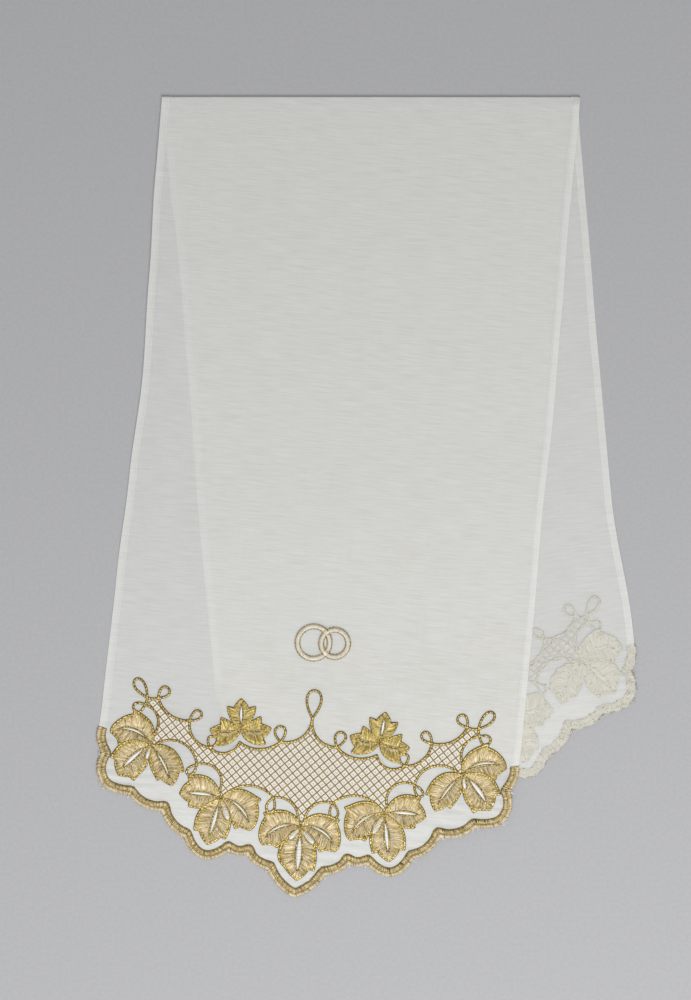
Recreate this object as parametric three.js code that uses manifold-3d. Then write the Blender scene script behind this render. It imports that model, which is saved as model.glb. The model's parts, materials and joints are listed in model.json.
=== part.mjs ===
// Wedding towel: one long white linen runner, folded once across its middle at a slant and laid flat.
// The two halves lean apart below the fold, and both ends are scalloped and embroidered in gold thread.
// Millimetres, +Z up. The front half lies on top with its right side up; the back half lies below,
// right side down, so it rests on its own embroidery.
//
// A place on the cloth is given by u, across it from its centre line, and v, along it towards its pointed
// end. v counts as on the front half, where the fold crosses the centre line at 0 and the point is at TIP_V.
import * as THREE from 'three';
import { mergeVertices } from 'three/addons/utils/BufferGeometryUtils.js';
import Module from 'manifold-3d';

const wasm = await Module();
wasm.setup();

// Driving dimensions
const LEAN = THREE.MathUtils.degToRad(5.4); // each half leans this far from square to the fold
const FOLD_X = 3.5; // where the fold crosses the centre line of the cloth
const FOLD_Y = 360.2;
const HALF_WIDTH = 190;
const FOLD_HALF_WIDTH = 188; // the cloth draws in a little where it is folded
const TIP_V = 724.5;
const HEM_END_V = 588; // the side hems end here, and the scalloped edge begins
const BACK_SHORT = 74; // the back half is this much shorter than the front half
const CLOTH = 1; // thickness of one layer
const HEM_WIDTH = 9;
const HEM_STEP = 1.5; // the hem's thickness rises over this width
const HEM_RISE = 0.35;
const HEM_FADE_V = 560; // the hem's extra thickness fades from here to where the hem ends
const LAYER_GAP = 0.8; // air between the two halves
const STITCH_GAP = 0.3; // between the cloth and the embroidery that stands on it
const STITCH_HEIGHT = 1; // the most that the embroidery stands proud
const UNDER_LIFT = STITCH_HEIGHT + STITCH_GAP; // how far the back end is held up by its own embroidery
const LIFT_FROM_V = 380;
const LIFT_TO_V = 470;
const DROP_START = 12; // the front half starts to come down this far outside the back half
const DROP_RUN = 80; // and has come down to the surface this much further on

// Side edges of each half, uneven as they lie: distance from the fold, and the left and right edge.
const FRONT_EDGES = [
  { along: -20, left: -188, right: 188 },
  { along: 90, left: -187, right: 188 },
  { along: 180, left: -184, right: 189.5 },
  { along: 270, left: -181.5, right: 190.5 },
  { along: 360, left: -185, right: 189 },
  { along: 450, left: -188, right: 190 },
  { along: 570, left: -190, right: 190 },
];
const BACK_EDGES = [
  { along: -20, left: -188, right: 188 },
  { along: 60, left: -188, right: 184.5 },
  { along: 130, left: -186.5, right: 184 },
  { along: 240, left: -188, right: 182.5 },
  { along: 380, left: -190.5, right: 182 },
  { along: 500, left: -190, right: 190 },
];
const FRONT = { side: 1, sway: -1, short: 0, edges: FRONT_EDGES };
const BACK = { side: -1, sway: 1, short: BACK_SHORT, edges: BACK_EDGES };

// One half of the scalloped end, from the point to the side hem. Each scallop ends at a notch and is
// pulled outwards by its bulge, the control point of a quadratic curve.
const SCALLOPS = [
  { bulgeU: 17, bulgeV: 718, notchU: 26, notchV: 701.5, steps: 3 },
  { bulgeU: 41, bulgeV: 698.6, notchU: 46, notchV: 689.3, steps: 2 },
  { bulgeU: 53.8, bulgeV: 692.8, notchU: 62.5, notchV: 688.3, steps: 2 },
  { bulgeU: 88.8, bulgeV: 710.3, notchU: 104, notchV: 679, steps: 4 },
  { bulgeU: 120, bulgeV: 673.8, notchU: 126, notchV: 657.5, steps: 2 },
  { bulgeU: 144.8, bulgeV: 659.3, notchU: 156.5, notchV: 646, steps: 3 },
  { bulgeU: 174, bulgeV: 646, notchU: 181, notchV: 639.5, steps: 2 },
  { bulgeU: 187.5, bulgeV: 632, notchU: 186.5, notchV: 614, steps: 2 },
  { bulgeU: 190, bulgeV: 604, notchU: HALF_WIDTH, notchV: HEM_END_V, steps: 2 },
];

// Rows of the cloth's mesh: v of the plain rows, then shares of the way from the last of them to the edge.
const PLAIN_ROWS = [100, 190, 270, 330, 380, 425, 470, 510, 545, 570];
const END_ROWS = [0.25, 0.5, 0.75, 1];
const FOLD_ROOM = 50; // the first plain row is at least this far from the fold
const FOLD_TURNS = [-45, 0, 45]; // degrees round the fold
const SAME_PLACE = 1e-4; // points closer than this are one point

// The satin-stitched edge: two rounded rows with a groove between, as distance in from the cloth's edge
// and height.
const BORDER_SECTION = [
  { inward: -0.6, high: 0.35 },
  { inward: 1.6, high: 1 },
  { inward: 3.9, high: 0.55 },
  { inward: 6, high: 0.9 },
  { inward: 8, high: 0.35 },
];

// Leaves: where their veins meet, the turn of the middle lobe from pointing at the towel's end, and the
// length of the middle lobe. Those off the centre line come in pairs.
const LEAVES = [
  { name: 'leaf_centre', u: 0, v: 661, turn: 0, long: 48, kind: 'broad' },
  { name: 'leaf_inner', u: 74, v: 641.5, turn: 16, long: 43.5, kind: 'broad' },
  { name: 'leaf_outer', u: 141.5, v: 600, turn: 38, long: 44, kind: 'broad' },
  { name: 'leaf_small', u: 62, v: 582, turn: 174, long: 32, kind: 'slim' },
];
// Lobes of a leaf: first heading of the midrib, how far it bends on its way, and length against the middle.
const LOBES = {
  broad: [
    { heading: 0, bend: 0, share: 1, outline: 'middle' },
    { heading: 88, bend: -42, share: 0.88, outline: 'side' },
    { heading: -88, bend: 42, share: 0.88, outline: 'side' },
  ],
  slim: [
    { heading: 0, bend: 0, share: 1, outline: 'slim' },
    { heading: 72, bend: 12, share: 0.84, outline: 'slim' },
    { heading: -72, bend: -12, share: 0.84, outline: 'slim' },
  ],
};
// Half-widths of a lobe along its midrib, both as shares of the lobe's length.
const LOBE_OUTLINES = {
  middle: [
    { along: 0, wide: 0.05 },
    { along: 0.2, wide: 0.2 },
    { along: 0.42, wide: 0.35 },
    { along: 0.62, wide: 0.37 },
    { along: 0.78, wide: 0.3 },
    { along: 0.82, wide: 0.2 },
    { along: 1, wide: 0.02 },
  ],
  side: [
    { along: 0, wide: 0.05 },
    { along: 0.25, wide: 0.24 },
    { along: 0.5, wide: 0.37 },
    { along: 0.72, wide: 0.38 },
    { along: 0.86, wide: 0.32 },
    { along: 0.89, wide: 0.2 },
    { along: 1, wide: 0.06 },
  ],
  slim: [
    { along: 0, wide: 0.05 },
    { along: 0.35, wide: 0.22 },
    { along: 0.62, wide: 0.4 },
    { along: 0.66, wide: 0.26 },
    { along: 0.85, wide: 0.16 },
    { along: 1, wide: 0.02 },
  ],
};
const LEAF_EDGE_HEIGHT = 0.5;
const LEAF_RIB_HEIGHT = 0.9;
const LEAF_CLEAR = 0.45; // the vine stops this far from a leaf
const LEAF_ROOM = 5; // and the room it leaves reaches this far over and under the leaf

// The gold vine: arcs between places, each standing off its chord by its sag, for the right half. The upper
// vine runs from the centre line out to the outer leaf, and the lower ones from there back to the centre.
const UPPER_SWAGS = [
  { fromU: 0, fromV: 562, toU: 25.5, toV: 586, sag: 8.2, steps: 4 },
  { fromU: 25.5, fromV: 586, toU: 62, toV: 589.8, sag: 6.5, steps: 4 },
  { fromU: 62, fromV: 589.8, toU: 88, toV: 597, sag: 7.5, steps: 4 },
  { fromU: 88, fromV: 597, toU: 109.5, toV: 574.5, sag: 6.7, steps: 3 },
  { fromU: 109.5, fromV: 574.5, toU: 140, toV: 557, sag: 6.4, steps: 4 },
  { fromU: 140, fromV: 557, toU: 150, toV: 557.5, sag: 1, steps: 1 },
  { fromU: 150, fromV: 557.5, toU: 151.5, toV: 564, sag: 0.5, steps: 1 },
  { fromU: 151.5, fromV: 564, toU: 143.5, toV: 594.5, sag: 10, steps: 5 },
];
const OUTER_SWAGS = [
  { fromU: 137, fromV: 599, toU: 98.5, toV: 613.5, sag: 12, steps: 5 },
  { fromU: 98.5, fromV: 613.5, toU: 77, toV: 637, sag: 12, steps: 5 },
];
const INNER_SWAGS = [
  { fromU: 71, fromV: 639, toU: 27, toV: 636.5, sag: 10, steps: 5 },
  { fromU: 27, fromV: 636.5, toU: 3, toV: 657, sag: 8.5, steps: 4 },
];
// Teardrop loops of the same cord, from where they cross themselves: heading from pointing at the towel's
// end, length and width.
const CENTRE_LOOP = { u: 0, v: 562, heading: 180, long: 25, wide: 13 };
const UPPER_LOOPS = [
  { u: 25.5, v: 586, heading: 169, long: 14, wide: 9.5 },
  { u: 88, v: 597, heading: 194, long: 10.5, wide: 8.7 },
  { u: 109.5, v: 574.5, heading: 234, long: 15, wide: 8 },
  { u: 140, v: 557, heading: 220, long: 11.5, wide: 8.5 },
  { u: 150, v: 557.5, heading: 142, long: 19.5, wide: 9 },
  { u: 151.5, v: 564, heading: 61, long: 11, wide: 8.5 },
];
const OUTER_LOOPS = [{ u: 98.5, v: 613.5, heading: 39, long: 12, wide: 6 }];
const INNER_LOOPS = [{ u: 27, v: 636.5, heading: 11, long: 13.5, wide: 7.5 }];
const LOOP_STEPS = 8;
const CORD_WIDTH = 2.1;
const MITRE_LIMIT = 0.75; // a corner is drawn out to at most the cord's width over this
const CORD_HEIGHT = 0.8;
const LOOP_RISE = 0.07; // the loops lie this much over the runs that they cross

// Two interlocked rings above the vine.
const RINGS = [
  { u: -6, v: 494, outer: 16.8, inner: 12.4 },
  { u: 13, v: 493, outer: 14.5, inner: 10 },
];
const RING_STEPS = 24;
const RING_HEIGHT = 0.7;

// Colours
const LINEN = new THREE.MeshStandardMaterial({ color: 0xe6e5df, roughness: 0.85, metalness: 0 });
const GOLD = new THREE.MeshStandardMaterial({ color: 0xc7a24e, roughness: 0.38, metalness: 0.65 });
const PALE_GOLD = new THREE.MeshStandardMaterial({ color: 0xd3b878, roughness: 0.42, metalness: 0.5 });

// Curves and heights

// A value that rises smoothly from 0 at low to 1 at high.
const smooth = (low, high, at) => THREE.MathUtils.smoothstep(at, low, high);

// The left or right edge of a half at a distance along it, smoothed between the table's rows.
function edgeAt(half, key, along) {
  const rows = half.edges;
  if (along <= rows[0].along) return rows[0][key];
  const next = rows.findIndex((row) => row.along > along);
  if (next < 0) return rows[rows.length - 1][key];
  const share = smooth(rows[next - 1].along, rows[next].along, along);
  return THREE.MathUtils.lerp(rows[next - 1][key], rows[next][key], share);
}

// Where a place on a half lies, seen from above.
function planPoint(half, u, v) {
  const along = v - half.short;
  const left = edgeAt(half, 'left', along);
  const right = edgeAt(half, 'right', along);
  const across = (left + right) / 2 + (u / HALF_WIDTH) * ((right - left) / 2);
  const x = FOLD_X + across * Math.cos(LEAN) + half.sway * along * Math.sin(LEAN);
  const y = FOLD_Y + half.sway * across * Math.sin(LEAN) - along * Math.cos(LEAN);
  return new THREE.Vector2(x, y);
}

// v at which a thread of the cloth meets the fold.
function foldV(half, u) {
  const across = (u * FOLD_HALF_WIDTH) / HALF_WIDTH;
  return half.short + half.sway * across * Math.tan(LEAN);
}

// Half of the scalloped edge, from the point outwards.
function scallopPoints() {
  const points = [new THREE.Vector2(0, TIP_V)];
  for (const scallop of SCALLOPS) {
    const start = points[points.length - 1];
    const bulge = new THREE.Vector2(scallop.bulgeU, scallop.bulgeV);
    const notch = new THREE.Vector2(scallop.notchU, scallop.notchV);
    const curve = new THREE.QuadraticBezierCurve(start, bulge, notch);
    points.push(...curve.getPoints(scallop.steps).slice(1));
  }
  return points;
}

const HALF_EDGE = scallopPoints();
const mirrored = (points) => points.map((p) => new THREE.Vector2(-p.x, p.y));
const WHOLE_EDGE = [...mirrored(HALF_EDGE.slice(1)).reverse(), ...HALF_EDGE];

// v of the scalloped edge at u.
function edgeV(u) {
  const at = Math.abs(u);
  const next = Math.max(1, HALF_EDGE.findIndex((p) => p.x >= at - SAME_PLACE));
  const [a, b] = [HALF_EDGE[next - 1], HALF_EDGE[next]];
  return THREE.MathUtils.mapLinear(at, a.x, b.x, a.y, b.y);
}

// v of the plain rows of a half, and the outline of one of its side edges from the fold down.
const plainRows = (half) => PLAIN_ROWS.filter((v) => v > half.short + FOLD_ROOM);
const sideEdge = (half, u) => [foldV(half, u), ...plainRows(half)].map((v) => planPoint(half, u, v));

// The back half's outline seen from above, which the front half drapes over.
const BACK_OUTLINE = [
  ...sideEdge(BACK, -HALF_WIDTH),
  ...WHOLE_EDGE.map((p) => planPoint(BACK, p.x, p.y)),
  ...sideEdge(BACK, HALF_WIDTH).reverse(),
];

// True where a point lies inside a closed outline.
function inside(outline, point) {
  let found = false;
  outline.forEach((a, i) => {
    const b = outline[(i + 1) % outline.length];
    const spans = a.y > point.y !== b.y > point.y;
    if (spans && point.x < a.x + ((b.x - a.x) * (point.y - a.y)) / (b.y - a.y)) found = !found;
  });
  return found;
}

// How far a point lies outside a closed outline, or 0 inside it.
function distanceOutside(outline, point) {
  if (inside(outline, point)) return 0;
  const near = new THREE.Vector2();
  return Math.min(
    ...outline.map((a, i) => {
      const b = outline[(i + 1) % outline.length];
      const step = b.clone().sub(a);
      const share = point.clone().sub(a).dot(step) / Math.max(step.lengthSq(), SAME_PLACE);
      near.copy(a).addScaledVector(step, THREE.MathUtils.clamp(share, 0, 1));
      return near.distanceTo(point);
    }),
  );
}

// How high the back half's cloth is held by its own embroidery.
const backBase = (v) => UNDER_LIFT * smooth(LIFT_FROM_V, LIFT_TO_V, v);

// The underside of the front half: on the back half where that lies below, and down on the surface past it.
function frontBase(u, v) {
  const point = planPoint(FRONT, u, v);
  const [dx, dy] = [point.x - FOLD_X, FOLD_Y - point.y];
  const backV = dx * Math.sin(LEAN) + dy * Math.cos(LEAN) + BACK_SHORT;
  const over = backBase(backV) + CLOTH + LAYER_GAP;
  return over * (1 - smooth(DROP_START, DROP_START + DROP_RUN, distanceOutside(BACK_OUTLINE, point)));
}

// Extra thickness of the side hems, which fade out where the scalloped edge begins.
function hemRise(u, v) {
  const start = HALF_WIDTH - HEM_WIDTH;
  return HEM_RISE * smooth(start - HEM_STEP, start, Math.abs(u)) * (1 - smooth(HEM_FADE_V, HEM_END_V, v));
}

// Lower and upper face of a half at a place on it.
function faces(half, u, v) {
  const low = half === FRONT ? frontBase(u, v) : backBase(v);
  return { low, high: low + CLOTH + hemRise(u, v) };
}

// u of each column of the cloth's mesh: the scallops' points and the hems' inner edges.
function clothColumns() {
  const hem = HALF_WIDTH - HEM_WIDTH - HEM_STEP;
  const right = [...HALF_EDGE.map((p) => p.x), hem].sort((a, b) => a - b);
  return [...right.slice(1).reverse().map((u) => -u), ...right];
}

const COLUMNS = clothColumns();

// v of each row of one half, from the fold to the scalloped edge, at one column.
function clothRows(half, u) {
  const plain = plainRows(half);
  const last = plain[plain.length - 1];
  const end = END_ROWS.map((share) => THREE.MathUtils.lerp(last, edgeV(u), share));
  return [foldV(half, u), ...plain, ...end];
}

// Where a number falls among rising ones: the index of the one below it, and its share of the step.
function placeAmong(values, at) {
  const below = values.filter((value) => value <= at).length - 1;
  const index = THREE.MathUtils.clamp(below, 0, values.length - 2);
  const share = (at - values[index]) / (values[index + 1] - values[index]);
  return { index, share: THREE.MathUtils.clamp(share, 0, 1) };
}

// Height of the side of a half that bears embroidery, flat between the corners of the cloth's own mesh.
function bearingHeight(half, u, v) {
  const column = placeAmong(COLUMNS, u);
  const [left, right] = [COLUMNS[column.index], COLUMNS[column.index + 1]];
  const [leftRows, rightRows] = [clothRows(half, left), clothRows(half, right)];
  const rows = leftRows.map((rowV, i) => THREE.MathUtils.lerp(rowV, rightRows[i], column.share));
  const row = placeAmong(rows, v);
  const heights = [row.index, row.index + 1].map((i) => {
    const [a, b] = [faces(half, left, leftRows[i]), faces(half, right, rightRows[i])];
    const side = half === FRONT ? 'high' : 'low';
    return THREE.MathUtils.lerp(a[side], b[side], column.share);
  });
  return THREE.MathUtils.lerp(heights[0], heights[1], row.share);
}

// A point that stands off the right side of a half: up from the front, down from the back. The back's
// design is turned round, so that each end reads the same from its right side.
function stitched(half, u, v, height) {
  const { x, y } = planPoint(half, u * half.side, v);
  const off = half === FRONT ? STITCH_GAP + height : -STITCH_GAP - height;
  return new THREE.Vector3(x, y, bearingHeight(half, u * half.side, v) + off);
}

// Solids

// A closed solid from points and triangles, turned so that its faces point out.
function solidOf(points, triangles) {
  const geometry = new THREE.BufferGeometry().setFromPoints(points);
  geometry.setIndex(triangles.flat());
  const merged = mergeVertices(geometry, SAME_PLACE);
  const vertProperties = merged.attributes.position.array;
  const build = (triVerts) => new wasm.Manifold(new wasm.Mesh({ numProp: 3, vertProperties, triVerts }));
  const made = build(new Uint32Array(merged.index.array));
  if (made.volume() > 0) return made;
  return build(new Uint32Array(merged.index.array).reverse());
}

// A solid through a row of rings with the same number of points, capped at both ends or closed on itself.
function loft(rings, closed = false) {
  const around = rings[0].length;
  const triangles = [];
  const quad = (a, b, c, d) => triangles.push([a, b, c], [a, c, d]);
  const spans = closed ? rings.length : rings.length - 1;
  for (let i = 0; i < spans; i += 1) {
    const [here, there] = [i * around, ((i + 1) % rings.length) * around];
    for (let k = 0; k < around; k += 1) {
      const next = (k + 1) % around;
      quad(here + k, here + next, there + next, there + k);
    }
  }
  if (!closed) {
    const last = (rings.length - 1) * around;
    for (let k = 1; k < around - 1; k += 1) {
      triangles.push([0, k + 1, k], [last, last + k, last + k + 1]);
    }
  }
  return solidOf(rings.flat(), triangles);
}

// A solid between two sheets of points, each a list of rows, closed round their four sides.
function slab(upper, lower) {
  const [rows, columns] = [upper.length, upper[0].length];
  const at = (i, j) => i * columns + j;
  const offset = rows * columns;
  const triangles = [];
  const quad = (a, b, c, d) => triangles.push([a, b, c], [a, c, d]);
  for (let i = 0; i < rows - 1; i += 1) {
    for (let j = 0; j < columns - 1; j += 1) {
      const [a, b, c, d] = [at(i, j), at(i, j + 1), at(i + 1, j + 1), at(i + 1, j)];
      quad(a, b, c, d);
      quad(offset + a, offset + d, offset + c, offset + b);
    }
  }
  const rim = [
    ...Array.from({ length: columns }, (_, j) => at(0, j)),
    ...Array.from({ length: rows - 1 }, (_, i) => at(i + 1, columns - 1)),
    ...Array.from({ length: columns - 1 }, (_, j) => at(rows - 1, columns - 2 - j)),
    ...Array.from({ length: rows - 2 }, (_, i) => at(rows - 2 - i, 0)),
  ];
  rim.forEach((a, i) => {
    const b = rim[(i + 1) % rim.length];
    quad(a, offset + a, offset + b, b);
  });
  return solidOf([...upper.flat(), ...lower.flat()], triangles);
}

// The mesh of a node.
function node(name, solid, material) {
  const { numProp, vertProperties, triVerts } = solid.getMesh();
  const geometry = new THREE.BufferGeometry();
  geometry.setAttribute('position', new THREE.BufferAttribute(new Float32Array(vertProperties), numProp));
  geometry.setIndex(new THREE.BufferAttribute(new Uint32Array(triVerts), 1));
  geometry.computeVertexNormals();
  const mesh = new THREE.Mesh(geometry, material);
  mesh.name = name;
  return mesh;
}

// The largest body of a solid, which leaves out crumbs that a cut parts from it.
const largest = (solid) => solid.decompose().sort((a, b) => b.volume() - a.volume())[0];
const joined = (solids) => solids.reduce((whole, solid) => whole.add(solid));

// The cloth

// One row of a half, as its outer and inner faces: the right side is outside, the wrong side inside.
function halfRow(half, index) {
  const outer = [];
  const inner = [];
  for (const u of COLUMNS) {
    const v = clothRows(half, u)[index];
    const { x, y } = planPoint(half, u, v);
    const { low, high } = faces(half, u, v);
    const [outside, within] = half === FRONT ? [high, low] : [low, high];
    outer.push(new THREE.Vector3(x, y, outside));
    inner.push(new THREE.Vector3(x, y, within));
  }
  return { outer, inner };
}

// One row round the fold, part way from the back half to the front half.
function foldRow(degrees) {
  const turn = THREE.MathUtils.degToRad(degrees);
  const round = (u, low, high) => {
    const { x, y } = planPoint(FRONT, u, foldV(FRONT, u));
    const radius = (high - low) / 2;
    return new THREE.Vector3(x, y + radius * Math.cos(turn), low + radius * (1 + Math.sin(turn)));
  };
  const front = COLUMNS.map((u) => faces(FRONT, u, foldV(FRONT, u)));
  const back = COLUMNS.map((u) => faces(BACK, u, foldV(BACK, u)));
  return {
    outer: COLUMNS.map((u, j) => round(u, back[j].low, front[j].high)),
    inner: COLUMNS.map((u, j) => round(u, back[j].high, front[j].low)),
  };
}

// The whole cloth, from the back half's end round the fold to the front half's end.
function clothSolid() {
  const backRows = clothRows(BACK, 0).map((_, i) => halfRow(BACK, i)).reverse();
  const foldRows = FOLD_TURNS.map((degrees) => foldRow(degrees));
  const frontRows = clothRows(FRONT, 0).map((_, i) => halfRow(FRONT, i));
  const rows = [...backRows, ...foldRows, ...frontRows];
  return slab(rows.map((row) => row.outer), rows.map((row) => row.inner));
}

// The embroidery

// Directions square to a path of points, with the corners mitred, to the left of the way it runs.
function normalsOf(path, closed = false) {
  const last = path.length - 1;
  return path.map((point, i) => {
    const before = point.clone().sub(path[i > 0 ? i - 1 : closed ? last : 0]);
    const after = path[i < last ? i + 1 : closed ? 0 : last].clone().sub(point);
    const steps = [before, after].filter((step) => step.length() > SAME_PLACE);
    const normals = steps.map((step) => new THREE.Vector2(-step.y, step.x).normalize());
    const sum = normals.reduce((total, normal) => total.clone().add(normal)).normalize();
    return sum.multiplyScalar(1 / Math.max(MITRE_LIMIT, sum.dot(normals[0])));
  });
}

// The satin-stitched band along the scalloped edge.
function borderSolid(half) {
  const normals = normalsOf(WHOLE_EDGE);
  const foot = { inward: BORDER_SECTION[0].inward, high: 0 };
  const heel = { inward: BORDER_SECTION[BORDER_SECTION.length - 1].inward, high: 0 };
  const section = [foot, ...BORDER_SECTION, heel];
  const rings = WHOLE_EDGE.map((point, i) =>
    section.map(({ inward, high }) => {
      const place = point.clone().addScaledVector(normals[i], -inward);
      return stitched(half, place.x, place.y, high);
    }),
  );
  return loft(rings);
}

// A stitched cord along a path, flat below and ridged on top.
function cordSolid(half, path, closed) {
  const normals = normalsOf(path, closed);
  const section = [[-0.5, 0], [0, CORD_HEIGHT], [0.5, 0]];
  const rise = closed ? LOOP_RISE : 0;
  const rings = path.map((point, i) =>
    section.map(([across, high]) => {
      const place = point.clone().addScaledVector(normals[i], across * CORD_WIDTH);
      return stitched(half, place.x, place.y, rise + high);
    }),
  );
  return loft(rings, closed);
}

// A direction in the cloth's plane, as degrees from pointing at the towel's end.
function headingVector(degrees) {
  const turn = THREE.MathUtils.degToRad(degrees);
  return new THREE.Vector2(Math.sin(turn), Math.cos(turn));
}

// Places on a lobe's midrib, with the direction of the rib at each.
function midrib(leaf, lobe, outline) {
  const length = leaf.long * lobe.share;
  let place = new THREE.Vector2(leaf.u, leaf.v);
  return outline.map(({ along, wide }, i) => {
    const heading = headingVector(leaf.turn + lobe.heading + lobe.bend * along);
    const step = i ? (along - outline[i - 1].along) * length : 0;
    place = place.clone().addScaledVector(heading, step);
    return { place, heading, wide: wide * length };
  });
}

// One lobe: highest along its midrib. Grown and tall, it is the room that other pieces leave for it.
function lobeSolid(half, leaf, lobe, room) {
  const stations = midrib(leaf, lobe, LOBE_OUTLINES[lobe.outline]);
  const grow = room ? LEAF_CLEAR : 0;
  const [edge, rib] = room ? [LEAF_ROOM, LEAF_ROOM] : [LEAF_EDGE_HEIGHT, LEAF_RIB_HEIGHT];
  const foot = room ? -LEAF_ROOM : 0;
  const rings = stations.map(({ place, heading, wide }, i) => {
    const ends = { 0: -grow, [stations.length - 1]: grow };
    const centre = place.clone().addScaledVector(heading, ends[i] ?? 0);
    const across = new THREE.Vector2(-heading.y, heading.x);
    const section = [[-1, foot], [-1, edge], [0, rib], [1, edge], [1, foot]];
    return section.map(([side, high]) => {
      const at = centre.clone().addScaledVector(across, side * (wide + grow));
      return stitched(half, at.x, at.y, high);
    });
  });
  return loft(rings);
}

const leafSolid = (half, leaf, room = false) =>
  joined(LOBES[leaf.kind].map((lobe) => lobeSolid(half, leaf, lobe, room)));

// Each leaf of one end: the centre one, and a left and a right one of each other row.
function leafPlaces() {
  return LEAVES.flatMap((leaf) => {
    if (leaf.u === 0) return [leaf];
    return [
      { ...leaf, name: `${leaf.name}_left`, u: -leaf.u, turn: -leaf.turn },
      { ...leaf, name: `${leaf.name}_right` },
    ];
  });
}

// Places along an arc that stands off its chord.
function swagPath({ fromU, fromV, toU, toV, sag, steps }) {
  const from = new THREE.Vector2(fromU, fromV);
  const to = new THREE.Vector2(toU, toV);
  const chord = to.clone().sub(from);
  const off = new THREE.Vector2(-chord.y, chord.x).normalize();
  const radius = (chord.lengthSq() / 4 + sag * sag) / (2 * sag);
  const reach = Math.asin(chord.length() / 2 / radius);
  const halfTurn = sag > radius ? Math.PI - reach : reach;
  const middle = from.clone().add(to).multiplyScalar(0.5).addScaledVector(off, sag - radius);
  const ahead = chord.normalize();
  return Array.from({ length: steps + 1 }, (_, i) => {
    const turn = THREE.MathUtils.lerp(-halfTurn, halfTurn, i / steps);
    return middle
      .clone()
      .addScaledVector(off, radius * Math.cos(turn))
      .addScaledVector(ahead, radius * Math.sin(turn));
  });
}

// Places along a run of arcs.
const runPath = (swags) => [
  ...swags.flatMap((swag) => swagPath(swag).slice(0, -1)),
  swagPath(swags[swags.length - 1]).pop(),
];

// Places round a teardrop loop, which starts at the corner where it crosses itself.
function loopPath({ u, v, heading, long, wide }) {
  const corner = new THREE.Vector2(u, v);
  const ahead = headingVector(heading).multiplyScalar((4 / 3) * long);
  const across = new THREE.Vector2(-ahead.y, ahead.x).setLength(Math.sqrt(3) * wide);
  const curve = new THREE.CubicBezierCurve(
    corner,
    corner.clone().add(ahead).add(across),
    corner.clone().add(ahead).sub(across),
    corner,
  );
  return curve.getPoints(LOOP_STEPS).slice(0, -1);
}

// A stretch of the vine: its run and loops as one piece, cut back from the leaves.
function vineSolid(half, run, loops) {
  const laidLoops = loops.map((path) => cordSolid(half, path, true));
  const whole = joined([cordSolid(half, run, false), ...laidLoops]);
  return largest(leafPlaces().reduce((left, leaf) => left.subtract(leafSolid(half, leaf, true)), whole));
}

// The upper vine of an end, which runs right across it, and the lower ones on either side.
function vineSolids(half) {
  const sides = (name, run, loops) => ({
    [`${name}_left`]: vineSolid(half, mirrored(run), loops.map(mirrored)),
    [`${name}_right`]: vineSolid(half, run, loops),
  });
  const right = runPath(UPPER_SWAGS);
  const upperRun = [...mirrored(right.slice(1)).reverse(), ...right];
  const upperLoops = UPPER_LOOPS.map(loopPath);
  const allLoops = [...upperLoops, ...upperLoops.map(mirrored), loopPath(CENTRE_LOOP)];
  return {
    upper_vine: vineSolid(half, upperRun, allLoops),
    ...sides('outer_vine', runPath(OUTER_SWAGS), OUTER_LOOPS.map(loopPath)),
    ...sides('inner_vine', runPath(INNER_SWAGS), INNER_LOOPS.map(loopPath)),
  };
}

// The two interlocked rings, joined where they cross.
function ringsSolid(half) {
  const rings = RINGS.map(({ u, v, outer, inner }) => {
    const sections = Array.from({ length: RING_STEPS }, (_, i) => {
      const turn = (2 * Math.PI * i) / RING_STEPS;
      const corners = [[inner, 0], [inner, RING_HEIGHT], [outer, RING_HEIGHT], [outer, 0]];
      return corners.map(([radius, high]) =>
        stitched(half, u + radius * Math.cos(turn), v + radius * Math.sin(turn), high),
      );
    });
    return loft(sections, true);
  });
  return joined(rings);
}

// All the embroidery of one end.
function endGroup(half, prefix) {
  const group = new THREE.Group();
  group.add(node(`${prefix}_scalloped_edge`, borderSolid(half), GOLD));
  group.add(node(`${prefix}_rings`, ringsSolid(half), PALE_GOLD));
  for (const [name, solid] of Object.entries(vineSolids(half))) {
    group.add(node(`${prefix}_${name}`, solid, GOLD));
  }
  for (const leaf of leafPlaces()) {
    group.add(node(`${prefix}_${leaf.name}`, leafSolid(half, leaf), PALE_GOLD));
  }
  return group;
}

const towel = new THREE.Group();
towel.add(node('towel_cloth', clothSolid(), LINEN));
towel.add(endGroup(FRONT, 'front'));
towel.add(endGroup(BACK, 'back'));

export default towel;
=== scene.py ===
"""Looks of a wedding towel: a sheer white linen runner with gold ends, folded once and laid flat.

Lengths are in millimetres until a mesh is made. A place on the cloth is u, across it from its
centre line, and v, along it from the fold towards its pointed end, as in the CAD model. Off the
cloth is a height.
"""

import json
import logging
import math
from dataclasses import dataclass, field
from enum import Enum, IntEnum

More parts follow.
